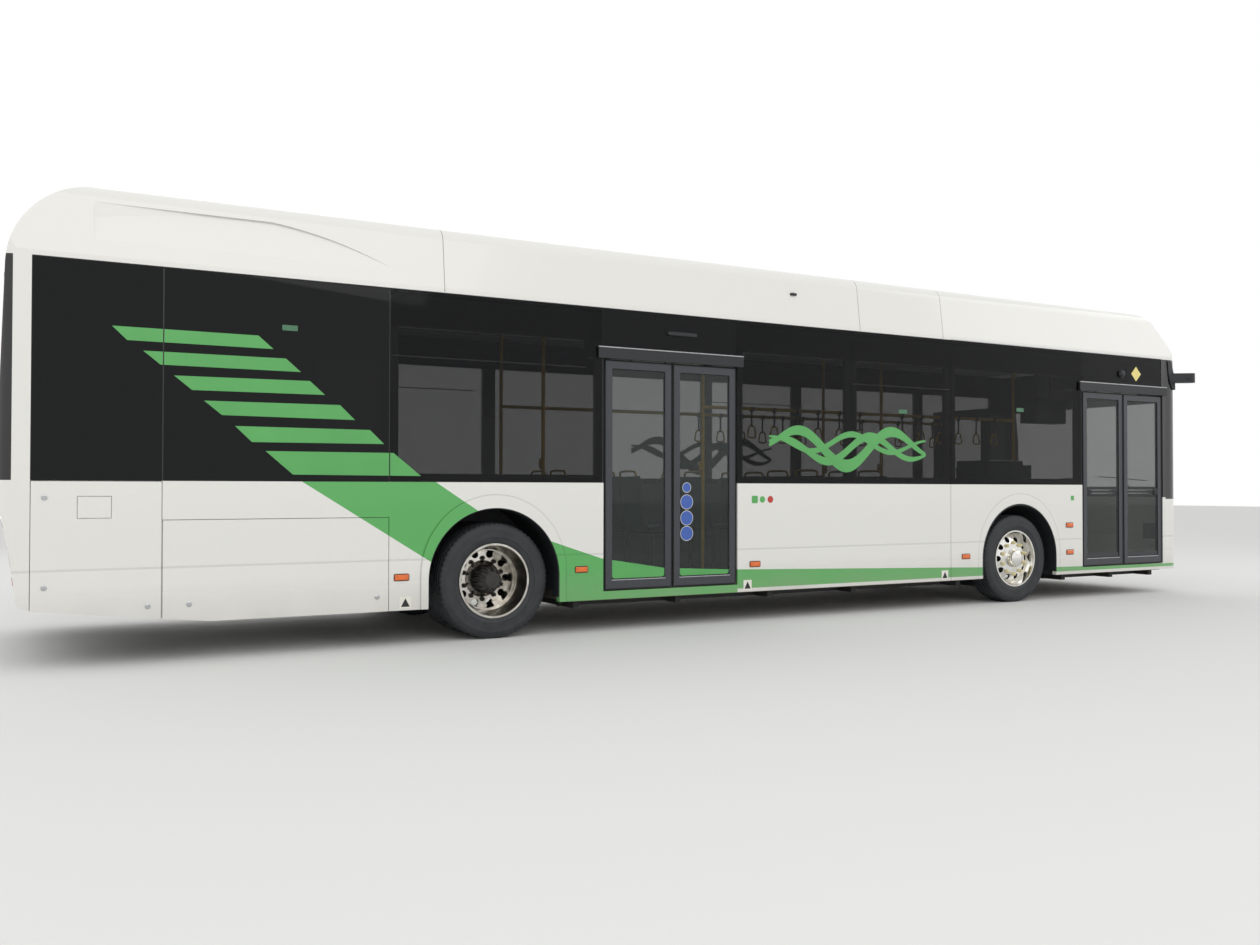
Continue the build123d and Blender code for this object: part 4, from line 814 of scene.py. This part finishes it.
def addSideTrim():
    for label, side in sides:
        bases, prisms, squares, triangles = [], [], [], []
        for x, z in small["markers"]:
            (h, v), (ph, pv) = small["lampHalf"], small["prismHalf"]
            bases.append(boxed(x - h, x + h, z - v, z + v, *onSide(side, 0.0, 0.003), "y", 0.012, 0.001))
            prisms.append(boxed(x - ph, x + ph, z - pv, z + pv, *onSide(side, 0.0118, 0.0132), "y", 0.010,
                                0.0006))
        addPiece(f"markerBases.{label}", bases, sealRubber)
        addPiece(f"markerPrisms.{label}", prisms, amber)
        doorBody = "rear_side_door" if side < 0 else "root"
        for body, group in ((doorBody, "doorLocks"), (f"service_flap_{label}", "flapLocks")):
            locks = [turned(small["lock"], side, (x, side * skinY, z), 28) for x, z in small[group]]
            addPiece(f"locks.{label}.{body}", locks, stainless, body)
        for x in small["jackMarks"]:
            squares.append(slab(rectangle(x - 0.045, x + 0.045, 0.285, 0.375), *onSide(side, 0.0001, 0.0006)))
            corners = [(x - 0.034, 0.297), (x + 0.034, 0.297), (x, 0.362)]
            triangles.append(slab(corners, *onSide(side, 0.0007, 0.0011)))
        addPiece(f"jackSquares.{label}", squares, plateFilm, smooth=False)
        addPiece(f"jackTriangles.{label}", triangles, blackFilm, smooth=False)
        strip = boxed(2.31, 5.685, 2.7155, 2.7235, *onSide(side, 0.0, 0.004), "y", 0.003, 0.001)
        addPiece(f"glassTopTrim.{label}", [strip], stainless)
        sealEnd = 5.69 if side > 0 else 2.305
        seals = [boxed(-5.905, sealEnd, *small["glassTop"], *onSide(side, 0.0, 0.002), "y", 0.003, 0.0008)]
        for x0, x1 in small["panes"]:
            seals.append(boxed(x0, x1, *small["paneFoot"], *onSide(side, 0.0, 0.0015), "y", 0.003, 0.0005))
        addPiece(f"glassSeals.{label}", seals, sealRubber)
        for place, (x, z, radius) in small["arches"].items():
            addPiece(f"archLiner.{place}.{label}", archLiner(side, x, z, radius), blackPlastic)
    flat = onSide(-1, 0.0001, 0.0008)
    for i, (x, z, r, finish, share) in enumerate(small["marks"]):
        mark = boxed(x - r, x + r, z - r, z + r, *flat, "y", r * share, 0.0002)
        addPiece(f"plainMark.{i}", [mark], finish, smooth=False)
    blanks = [boxed(x - 0.055, x + 0.055, z - 0.020, z + 0.020, *flat, "y", 0.006, 0.0002)
              for x, z in small["blanks"]]
    addPiece("blankStickers", blanks, dullFilm, smooth=False)
    dome = turned(small["dome"], -1, (4.970, -skinY, 2.506), 40)
    bar = boxed(-1.07, -0.77, 2.525, 2.558, *onSide(-1, 0.0, 0.016), "y", 0.012, 0.004)
    sensor = boxed(0.285, 0.353, 2.995, 3.019, -1.262, -1.240, "y", 0.010, 0.003)
    addPiece("camerasAndSensor", [dome, bar, sensor], blackPlastic)
    x, z, r = small["diamond"]
    addPiece("plainDiamond", [slab([(x - r, z), (x, z - r), (x + r, z), (x, z + r)], *flat)], yellowFilm,
             smooth=False)
    lips = [boxed(*ends, 2.380, 2.388, -1.302, -1.268, "y", 0.003, 0.0015)
            for ends in ((-1.753, -0.280), (4.247, 5.760))]
    addPiece("headerLips", lips, stainless)
    sills = [boxed(*ends, 0.318, 0.338, -1.2735, -1.262, "y", 0.004, 0.002)
             for ends in ((-1.690, -0.335), (4.310, 5.705))]
    addPiece("doorSills", sills, stainless)


addSideTrim()


# Plain wave on the window; a ribbon is (height, phase, width, lift)
wave = {
    "from": 0.02, "to": 1.96, "middle": 1.60, "turns": 1.6, "moreTurns": 0.15, "points": 70,
    "ribbons": [(0.185, 0.0, 0.120, 0.00), (0.13, 0.9, 0.080, -0.02), (0.09, 1.8, 0.056, 0.03)]}


def addWave():
    # Three ribbons, each a sine line whose height and width swell and fade as sin(pi t)
    n = wave["points"]
    t = np.linspace(0, 1, n)
    swell = np.sin(pi * t)
    x = wave["from"] + (wave["to"] - wave["from"]) * t
    caps = [[row + i, row + i + 1, row + 2 * n - 2 - i, row + 2 * n - 1 - i] for row in (0, 2 * n)
            for i in range(n - 1)]
    for label, side in sides:
        parts = []
        for k, (height, phase, width, lift) in enumerate(wave["ribbons"]):
            turns = wave["turns"] + wave["moreTurns"] * k
            z = wave["middle"] + lift + height * np.sin(2 * pi * turns * t + phase) * (0.55 + 0.45 * swell)
            half = width * (0.25 + 0.75 * swell ** 0.7) / 2 + 0.001
            outline = np.concatenate([np.stack([x, z - half], -1), np.stack([x, z + half], -1)[::-1]])
            points, faces = slab(outline, *onSide(side, 0.0002 + 0.0004 * k, 0.0005 + 0.0004 * k))
            parts.append((points, faces[:-2] + caps))
        addPiece(f"plainWave.{label}", parts, greenFilm, smooth=False)


addWave()
print("sides done")


# Seats: moulded shell, two padded cushions, handle and leg; (x, z) runs from the backrest's foot on the floor
seatForm = {
    "shell": [(0.398, 0.452), (0.392, 0.474), (0.340, 0.462), (0.200, 0.444), (0.060, 0.440), (0.010, 0.452),
              (-0.022, 0.500), (-0.040, 0.600), (-0.070, 0.800), (-0.100, 0.985), (-0.106, 1.002)],
    "halfWidth": 0.218, "thick": 0.016, "wing": 0.020,
    # A pad is centre, direction along, direction up, half length and half width
    "rest": ((0.2025, 0, 0.4605), (0.9985, 0, 0.054), (-0.054, 0, 0.9985), 0.1825, 0.195),
    "back": ((-0.052, 0, 0.7325), (-0.2022536, 0, 0.9793332), (0.9793332, 0, 0.2022536), 0.2325, 0.190),
    "padThick": 0.030, "padEdge": 0.006, "padPoints": 17,
    "handle": [(-0.100, -0.16, 0.985), (-0.108, -0.15, 1.045), (-0.110, 0.0, 1.055), (-0.108, 0.15, 1.045),
               (-0.100, 0.16, 0.985)]}
foam = {"voxel": 0.0135, "pressure": 4.0, "frames": 20, "cap": 0.006}
# Places are x, y and the floor's z; the rear bench has no legs
benchPlaces = [(-5.56, y, 0.12) for y in (-0.92, -0.46, 0.0, 0.46, 0.92)]
seatPlaces = [(-4.5, y, 0.62) for y in (-0.97, -0.51, 0.51, 0.97)]
seatPlaces += [(x, y, 0.32) for x in (-1.15, -0.35, 0.45, 1.25) for y in (0.51, 0.97)]
seatPlaces += [(x, y, 0.32) for x in (0.8, 1.6) for y in (-0.97, -0.51)] + [(4.8, 0.76, 0.47)]


def shellSurface():
    # Shell: the side profile carried across; its edges curl forwards by wing times the fourth power of v
    line = smoothLine(seatForm["shell"], 22)
    along = unit(np.gradient(line, axis=0))
    v = np.linspace(-1, 1, 13)
    layers = []
    for depth in (0.0, seatForm["thick"]):
        curl = seatForm["wing"] * v[None] ** 4 - depth
        x = line[:, :1] + along[:, 1:] * curl
        z = line[:, 1:] - along[:, :1] * curl
        layers.append(np.stack([x, np.broadcast_to(v * seatForm["halfWidth"], x.shape), z], -1))
    return closedSheet(*layers)


def padSurface(centre, along, up, halfLength, halfWidth):
    # Pad: a closed form crowned as ((1 - u^4)(1 - v^4))^0.4, its sides pulled in between the corners
    line = np.linspace(-1, 1, seatForm["padPoints"])
    u, v = np.meshgrid(line, line, indexing="ij")
    crown = (((1 - u ** 4) * (1 - v ** 4)) ** 0.4)[..., None]
    pull = 1 - 0.03 * (1 - np.minimum(np.abs(u), np.abs(v)) ** 2)
    along, across, up = np.array(along), np.array([0.0, 1.0, 0.0]), np.array(up)
    flat = np.array(centre) + (u * halfLength * pull)[..., None] * along
    flat = flat + (v * halfWidth * pull)[..., None] * across
    edge = seatForm["padEdge"]
    return closedSheet(flat + (edge + (seatForm["padThick"] - edge) * crown) * up, flat - 0.001 * crown * up)


def puffed(part):
    # Foam filling: the pad is remeshed and blown up as cloth, and no point may move past the cap
    trial = intoScene("padTrial", meshFrom("padTrial", *part))
    fine = trial.modifiers.new("fine", "REMESH")
    fine.mode, fine.voxel_size = "VOXEL", foam["voxel"]
    bpy.context.view_layer.update()
    whole = bpy.data.meshes.new_from_object(trial.evaluated_get(bpy.context.evaluated_depsgraph_get()))
    trial.modifiers.clear()
    trial.data = whole
    before = np.array([v.co for v in whole.vertices])
    cloth = trial.modifiers.new("foam", "CLOTH")
    cloth.settings.use_pressure, cloth.settings.uniform_pressure_force = True, foam["pressure"]
    cloth.settings.effector_weights.gravity = 0
    for frameNumber in range(1, foam["frames"] + 1):
        bpy.context.scene.frame_set(frameNumber)
    after = np.array([v.co for v in trial.evaluated_get(bpy.context.evaluated_depsgraph_get()).data.vertices])
    bpy.context.scene.frame_set(1)
    move = after - before
    far = np.linalg.norm(move, axis=1, keepdims=True)
    faces = [list(p.vertices) for p in whole.polygons]
    bpy.data.objects.remove(trial)
    return before + move * np.minimum(1, foam["cap"] / np.maximum(far, 1e-9)), faces


def addSeats():
    pads = joined([puffed(padSurface(*seatForm[k])) for k in ("rest", "back")])
    handle = tube(smoothLine(seatForm["handle"], 24), 0.0115, 10)
    foot = boxed(0.06, 0.26, -0.07, 0.07, 0.001, 0.012, "z", 0.02, 0.003)
    bearer = boxed(0.04, 0.30, -0.15, 0.15, 0.415, 0.432, "z", 0.02, 0.003)
    leg = joined([tube([(0.16, 0, 0.0), (0.16, 0, 0.43)], 0.030, 16), foot, bearer])
    everywhere = seatPlaces + benchPlaces
    cushions = addPiece("seatPads", [(pads[0] + place, pads[1]) for place in everywhere], moquette)
    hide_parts("passenger_seats")
    for name, (points, faces), finish, places in (("seatShells", shellSurface(), shellAbs, everywhere),
                                                  ("seatHandles", handle, railYellow, everywhere),
                                                  ("seatLegs", leg, trimDark, seatPlaces)):
        addPiece(name, [(points + place, faces) for place in places], finish)


addSeats()
print("seats done")


# Inside: ceiling lamps, hanging loops, stop buttons, display, validator, cab rails
cabin = {
    "railY": 0.48, "railZ": 1.99,
    "grip": ((-0.055, -0.285), (0.055, -0.285), (0.030, -0.172), (-0.030, -0.172)),
    "loops": [0.40, 0.68, 0.96, 1.24, 1.52, 1.80, 2.40, 2.68, 2.96, 3.24, 3.52, 3.80],
    "lamps": (-4.9, -3.4, -1.9, -0.4, 1.1, 2.6), "lampLength": 1.35, "lampY": 0.60, "lampHalf": 0.055,
    "buttons": [(0.10, 0.48), (2.10, 0.48), (2.10, -0.48), (-1.88, -0.48), (-3.90, 0.26), (-3.90, -0.26),
                (-0.18, -0.48)],
    "buttonZ": 1.42, "cap": [(0.017, 0.0), (0.017, 0.004), (0.012, 0.007), (0.0001, 0.008)],
    "boxes": [(4.45, 5.02, -0.50, -0.28, 1.98, 2.27, "z", 0.03, 0.012),
              (3.99, 4.14, -0.60, -0.46, 1.19, 1.46, "z", 0.03, 0.015),
              (2.91, 3.44, -1.215, -0.76, 1.161, 1.50, "z", 0.02, 0.01)],
    "hangers": (4.62, 4.86), "hangerY": -0.39,
    "screens": [(4.50, 4.97, 2.02, 2.23, -0.5035, -0.4995), (4.01, 4.12, 1.30, 1.42, -0.6035, -0.5995)],
    "boxEdge": [(2.915, -1.217, 1.497), (3.435, -1.217, 1.497)],
    "doorRail": [(4.66, 1.28), (4.80, 1.285), (5.02, 1.285), (5.12, 1.25), (5.16, 1.14), (5.16, 0.75)],
    "doorRailY": 0.236, "doorRailFeet": [(4.68, 1.28), (5.16, 0.77)],
    "frontRail": [(5.36, 0.30, 1.155), (5.36, 0.27, 1.25), (5.40, 0.20, 1.285), (5.66, 0.10, 1.285),
                  (5.72, 0.06, 1.20), (5.72, 0.06, 0.45)]}


def addCabin():
    z0, straps, grips, lamps = cabin["railZ"], [], [], []
    for side in (-1, 1):
        y = side * cabin["railY"]
        for x in cabin["loops"]:
            straps.append(boxed(x - 0.012, x + 0.012, y - 0.0235, y + 0.0235, z0 - 0.030, z0 + 0.020, "z",
                                0.006, 0.003))
            straps.append(boxed(x - 0.011, x + 0.011, z0 - 0.175, z0 - 0.028, y - 0.002, y + 0.002, "y",
                                0.003, 0.001))
            corners = [(x + a, z0 + b) for a, b in cabin["grip"]]
            grips.append(tube([(a, y, b) for a, b in rounded(corners, 0.022, 5)], 0.0085, 8, True))
        y, half = side * cabin["lampY"], cabin["lampHalf"]
        for x in cabin["lamps"]:
            lamps.append(boxed(x, x + cabin["lampLength"], y - half, y + half, 2.695, 2.7145, "z", 0.02,
                               0.006))
    addPiece("loopStraps", straps, trimDark)
    addPiece("loopGrips", grips, railYellow)
    addPiece("ceilingLamps", lamps, whiteLens)
    z, cases, caps = cabin["buttonZ"], [], []
    for x, y in cabin["buttons"]:
        away = -1 if y > 0 else 1
        depth = (y + away * 0.012, y + away * 0.040)
        cases.append(boxed(x - 0.026, x + 0.026, z - 0.045, z + 0.045, *depth, "y", 0.012, 0.006))
        caps.append(turned(cabin["cap"], away, (x, y + away * 0.0395, z), 20))
    addPiece("buttonCases", cases, railYellow)
    addPiece("buttonCaps", caps, redLens)
    hung = cabin["hangerY"]
    boxes = [boxed(*box) for box in cabin["boxes"]]
    boxes += [tube([(x, hung, 2.26), (x, hung, 2.712)], 0.014, 12) for x in cabin["hangers"]]
    addPiece("cabinBoxes", boxes, blackPlastic)
    addPiece("cabinScreens", [boxed(*box, "y", 0.01, 0.001) for box in cabin["screens"]], blackFilm)
    addPiece("boxEdge", [tube(cabin["boxEdge"], 0.005, 8)], stainless)
    y = cabin["doorRailY"]
    rail = [tube(smoothLine([(x, y, z) for x, z in cabin["doorRail"]], 30), 0.016, 12)]
    rail += [tube([(x, y, z), (x, y + 0.028, z)], 0.012, 10) for x, z in cabin["doorRailFeet"]]
    addPiece("cabDoorRail", rail, railYellow, "cab_door")
    addPiece("frontRail", [tube(smoothLine(cabin["frontRail"], 30), 0.016, 12)], railYellow)


addCabin()
print("cabin done")


# Both ends: joint lines across the skin and blank plates; a plate is (half width, low, high, proud, thick)
bodyEnds = {
    "front": {"look": -1, "skin": ("front_mask", "windscreen", "lamps"), "half": 1.15,
              "joints": (0.575, 0.86),
              "uprights": (-0.62, 0.62), "Holder": (0.275, 0.595, 0.725, 0.001, 0.003),
              "Blank": (0.262, 0.605, 0.715, 0.0045, 0.002)},
    "rear": {"look": 1, "skin": ("rear_mask", "rear_window", "rear_hatch", "lamps"), "half": 1.16,
             "joints": (0.80, 2.60), "uprights": (), "Holder": (0.275, 0.60, 0.73, 0.0005, 0.002),
             "Blank": (0.262, 0.61, 0.72, 0.003, 0.0015)}}


def addEnds():
    for name, end in bodyEnds.items():
        look, skin = end["look"], end["skin"]
        across = np.linspace(-end["half"], end["half"], 41)
        lines = [lineOn(skin, [(y, z) for y in across], look) for z in end["joints"]]
        lines += [lineOn(skin, [(y, z) for z in np.linspace(0.30, end["joints"][0], 9)], look)
                  for y in end["uprights"]]
        addPiece(f"{name}Joints", lines, sealRubber)
        for part, finish in (("Holder", blackPlastic), ("Blank", plateFilm)):
            half, low, high, proud, thick = end[part]
            plate = sheetOn([f"{name}_mask"], (-half, half), (low, high), look, proud, thick, 14)
            addPiece(f"{name}Plate{part}", [plate], finish, smooth=False)


# Front: two projector lamps and a day lamp a side, and the wipers; profiles are (radius, height)
front = {
    "lamps": (0.885, 1.035), "lampZ": 0.680,
    "bezel": [(0.066, -0.004), (0.066, 0.002), (0.056, 0.003), (0.0001, 0.003)],
    "ring": [(0.057, 0.001), (0.057, 0.006), (0.049, 0.007), (0.048, 0.002)],
    "dome": [(0.048, 0.002), (0.042, 0.009), (0.0208, 0.013), (0.0001, 0.014)],
    "dayLamp": ((0.80, 1.15), (0.762, 0.778), 0.0005, 0.003),
    # Wiper: pivot, arm as (y, z, lift) and a blade that rises by slope towards the middle
    "pivot": [(0.024, -0.010), (0.024, 0.008), (0.018, 0.014), (0.0001, 0.016)],
    "arm": [(0.62, 1.13, 0.008), (0.56, 1.22, 0.012), (0.40, 1.335, 0.012)],
    "blade": (0.10, 0.80), "bladeZ": 1.30, "bladeSlope": 0.08, "bladeOuter": 0.84}


def onScreen(side, y, z, lift):
    # A point lifted off the front skin along X
    return tuple(skinAt(bodyEnds["front"]["skin"], side * y, z, -1)[0] + Vector((lift, 0, 0)))


def addFront():
    for name, form, finish in (("headLampBezels", "bezel", blackPlastic), ("headLampRings", "ring", chrome),
                               ("headLampLenses", "dome", whiteLens)):
        places = [side * y for side in (-1, 1) for y in front["lamps"]]
        addPiece(name, [discOn(["lamps"], y, front["lampZ"], -1, front[form]) for y in places], finish)
    ys, zs, proud, thick = front["dayLamp"]
    bars = [sheetOn(["lamps"], [side * y for y in ys], zs, -1, proud, thick) for side in (-1, 1)]
    addPiece("dayLamps", bars, whiteLens)
    arms, blades = [], []
    for side in (-1, 1):
        y, z, lift = front["arm"][0]
        arms.append(lathe(front["pivot"], onScreen(side, y, z, 0.0), 20, "x"))
        arms.append(tube([onScreen(side, *place) for place in front["arm"]], 0.006, 8))
        line = [onScreen(side, y, front["bladeZ"] + front["bladeSlope"] * (front["bladeOuter"] - y), 0.006)
                for y in np.linspace(*front["blade"], 15)]
        blades.append(tube(line, 0.006, 6))
        blades.append(tube([(x + 0.006, y, z) for x, y, z in line[3:12]], 0.005, 6))
    addPiece("wiperArms", arms, blackPlastic)
    addPiece("wiperBlades", blades, sealRubber)


# Rear: four lamps a side, third stop lamp, reflectors and hatch locks; a strip is its y and z ends
rear = {
    "lampY": 1.005, "ring": [(0.050, -0.003), (0.050, 0.004), (0.044, 0.006), (0.043, 0.001)],
    "lens": [(0.0435, 0.001), (0.040, 0.006), (0.022, 0.010), (0.0001, 0.011)],
    "lamps": {"Red": (redLens, (1.300, 1.090)), "Amber": (amber, (1.195,)), "White": (whiteLens, (0.985,))},
    "strips": [((-0.20, 0.20), (2.655, 2.680), 12), ((-1.07, -0.93), (0.55, 0.60), 10),
               ((0.93, 1.07), (0.55, 0.60), 10)],
    "lock": [(0.022, -0.002), (0.022, 0.004), (0.016, 0.007), (0.010, 0.007), (0.009, 0.003),
             (0.0001, 0.003)],
    "locks": ((-0.72, 0.945), (0.72, 0.945))}


def addRear():
    ys = (-rear["lampY"], rear["lampY"])
    rings = []
    for name, (finish, zs) in rear["lamps"].items():
        rings += [discOn(["lamps"], y, z, 1, rear["ring"], 32) for y in ys for z in zs]
        lenses = [discOn(["lamps"], y, z, 1, rear["lens"], 32) for y in ys for z in zs]
        addPiece(f"tailLenses{name}", lenses, finish)
    addPiece("tailLampRings", rings, chrome)
    strips = [sheetOn(["rear_mask"], y, z, 1, 0.0005, 0.003, steps) for y, z, steps in rear["strips"]]
    addPiece("stopLampAndReflectors", strips, redLens)
    locks = [discOn(["rear_hatch"], y, z, 1, rear["lock"], 28) for y, z in rear["locks"]]
    addPiece("hatchLocks", locks, stainless, "rear_hatch")


# Roof: fan blades, guard rings, pack bolts, supply cables
roof = {
    "fans": [(x, y) for x in (0.65, 1.30, 1.95) for y in (-0.45, 0.45)], "top": 3.27, "blades": 7,
    "bladeFrom": 0.065, "bladeTo": 0.205, "guards": (0.055, 0.095, 0.135, 0.175, 0.215),
    "packs": [(-5.05, -3.45), (-3.35, -1.75), (-1.65, -0.05), (2.6, 4.2)], "boltY": (-0.86, 0.86),
    "boltZ": 3.130,
    "bolt": [(0.016, 0.0), (0.016, 0.002), (0.0115, 0.0025), (0.0115, 0.009), (0.009, 0.010),
             (0.0001, 0.010)],
    "cableY": (0.945, 0.975), "cableEnds": (-4.95, 4.10), "cableZ": 2.862}


def addRoof():
    # Blade: a plate between the two radii, its pitch falling from 38 to 20 degrees on the way out
    r = np.linspace(roof["bladeFrom"], roof["bladeTo"], 7)[:, None]
    w = np.linspace(-1, 1, 5)[None]
    pitch = np.radians(np.linspace(38, 20, 7))[:, None]
    chord = 0.030 + 0.12 * (r - roof["bladeFrom"])
    z = roof["top"] - 0.038 + w * chord * np.sin(pitch) * 0.55 - 0.004 * w ** 2
    circle = np.linspace(0, 2 * pi, 40, endpoint=False)
    blades, guards, bolts, glands = [], [], [], []
    for x, y in roof["fans"]:
        for k in range(roof["blades"]):
            turn = 2 * pi * k / roof["blades"] + w * chord * np.cos(pitch) / r + 0.9 * (r - roof["bladeFrom"])
            top = np.stack([x + r * np.cos(turn), y + r * np.sin(turn), z], -1)
            blades.append(closedSheet(top, top - (0, 0, 0.003)))
        for g in roof["guards"]:
            ring = [(x + g * math.cos(t), y + g * math.sin(t), roof["top"] - 0.0085) for t in circle]
            guards.append(tube(ring, 0.003, 6, True))
    for x0, x1 in roof["packs"]:
        places = [(x, y, roof["boltZ"]) for x in np.linspace(x0 + 0.08, x1 - 0.08, 7) for y in roof["boltY"]]
        bolts += [lathe(roof["bolt"], place, 6, "z") for place in places]
        glands.append(boxed(x0 - 0.012, x0 + 0.03, 0.60, 0.78, 2.90, 3.00, "z", 0.01, 0.004))
    cables = [tube([(x, y, roof["cableZ"]) for x in roof["cableEnds"]], 0.011, 10) for y in roof["cableY"]]
    addPiece("fanBlades", blades, blackPlastic)
    addPiece("fanGuards", guards, chassisBlack)
    addPiece("packBolts", bolts, stainless, smooth=False)
    addPiece("packGlands", glands, cableSheath)
    addPiece("supplyCables", cables, cableSheath)


# Air springs: places (x, y), ends (radius, z), the rolls' z, and a roll's three radii and two heights off z
springs = [
    {"places": [(3.300, 0.715)], "foot": [(0.060, 0.503), (0.071, 0.512)],
     "head": [(0.071, 0.736), (0.060, 0.739)],
     "rolls": (0.548, 0.622, 0.696), "radii": (0.0715, 0.0785, 0.081), "off": (0.034, 0.020), "count": 40},
    {"places": [(-3.12, 0.48), (-2.18, 0.48)], "foot": [(0.100, 0.312), (0.1105, 0.316)],
     "head": [(0.1105, 0.456), (0.100, 0.4595)], "rolls": (0.350, 0.420), "radii": (0.112, 0.118, 0.120),
     "off": (0.032, 0.018), "count": 48}]


def addBellows():
    # Each is a turned profile over the CAD spring
    parts = []
    for spring in springs:
        (neck, slope, full), (far, near) = spring["radii"], spring["off"]
        profile = list(spring["foot"])
        for z in spring["rolls"]:
            profile += [(neck, z - far), (slope, z - near), (full, z), (slope, z + near), (neck, z + far)]
        for x, y in spring["places"]:
            parts += [lathe(profile + spring["head"], (x, side * y, 0), spring["count"], "z")
                      for side in (-1, 1)]
    addPiece("springBellows", parts, bellowsRubber)


# Mirror cameras: a lens in a ring on the tip of each arm, looking back
mirror = {
    "x": 5.6, "y": 1.405, "z": 2.505,
    "ring": [(0.024, -0.002), (0.024, 0.004), (0.019, 0.006), (0.017, 0.002)],
    "lens": [(0.0172, 0.001), (0.013, 0.005), (0.0001, 0.007)]}


def addMirrorCameras():
    for name, form, finish, slot in (("cameraRings", "ring", trimDark, None),
                                     ("cameraLenses", "lens", blackFilm, "lamp_lens")):
        parts = [discOn(["mirror_arms"], side * mirror["y"], mirror["z"], 1, mirror[form], 28, mirror["x"])
                 for side in (-1, 1)]
        addPiece(name, parts, finish)


addEnds()
addFront()
addRear()
addRoof()
addBellows()
addMirrorCameras()
print("ends and roof done")


# Lights, world, floor
studio = {"world": 0.80, "paleFloor": "#E4E4E2", "floorHalf": 70, "lamps": [
    {"name": "sideSky", "at": (-4, -11, 8), "to": (0.5, -1, 1.2), "size": (14, 7), "watts": 300},
    {"name": "frontSky", "at": (12, -5, 7), "to": (4, 0, 1.5), "size": (8, 6), "watts": 150},
    {"name": "leftSky", "at": (0, 12, 8), "to": (0, 1, 1.2), "size": (14, 6), "watts": 210},
    {"name": "rearSky", "at": (-13, 1, 6), "to": (-5, 0, 1.5), "size": (7, 6), "watts": 130}]}


def addStudio():
    scene = bpy.context.scene
    scene.view_settings.view_transform = "Standard"
    world = bpy.data.worlds.new("paleRoom")
    scene.world = world
    world.use_nodes = True
    tree = world.node_tree
    # White to the camera and in reflections, softer as a light
    rays = add(tree, "LightPath").outputs
    seen = add(tree, "Math", rays["Is Camera Ray"], rays["Is Transmission Ray"], operation="MAXIMUM")
    seen = add(tree, "Math", seen, rays["Is Glossy Ray"], operation="MAXIMUM")
    strength = add(tree, "MapRange", seen, To_Min=studio["world"], To_Max=1.0)
    feed(tree, tree.nodes["Background"], Color=linear("#FFFFFF"), Strength=strength)
    for lamp in studio["lamps"]:
        data = bpy.data.lights.new(lamp["name"], "AREA")
        data.shape, data.energy = "RECTANGLE", lamp["watts"]
        data.size, data.size_y = lamp["size"]
        aim = Vector(lamp["to"]) - Vector(lamp["at"])
        turn = aim.to_track_quat("-Z", "Y").to_matrix().to_4x4()
        intoScene(lamp["name"], data).matrix_world = Matrix.Translation(lamp["at"]) @ turn
    half = studio["floorHalf"]
    mesh = bpy.data.meshes.new("studioFloor")
    mesh.from_pydata([(x, y, 0) for x, y in rectangle(-half, half, -half, half)], [], [(0, 1, 2, 3)])
    mesh.materials.append(material("paleConcrete", studio["paleFloor"], Roughness=0.9)[0])
    intoScene("studioFloor", mesh)


addStudio()
print("scene done")
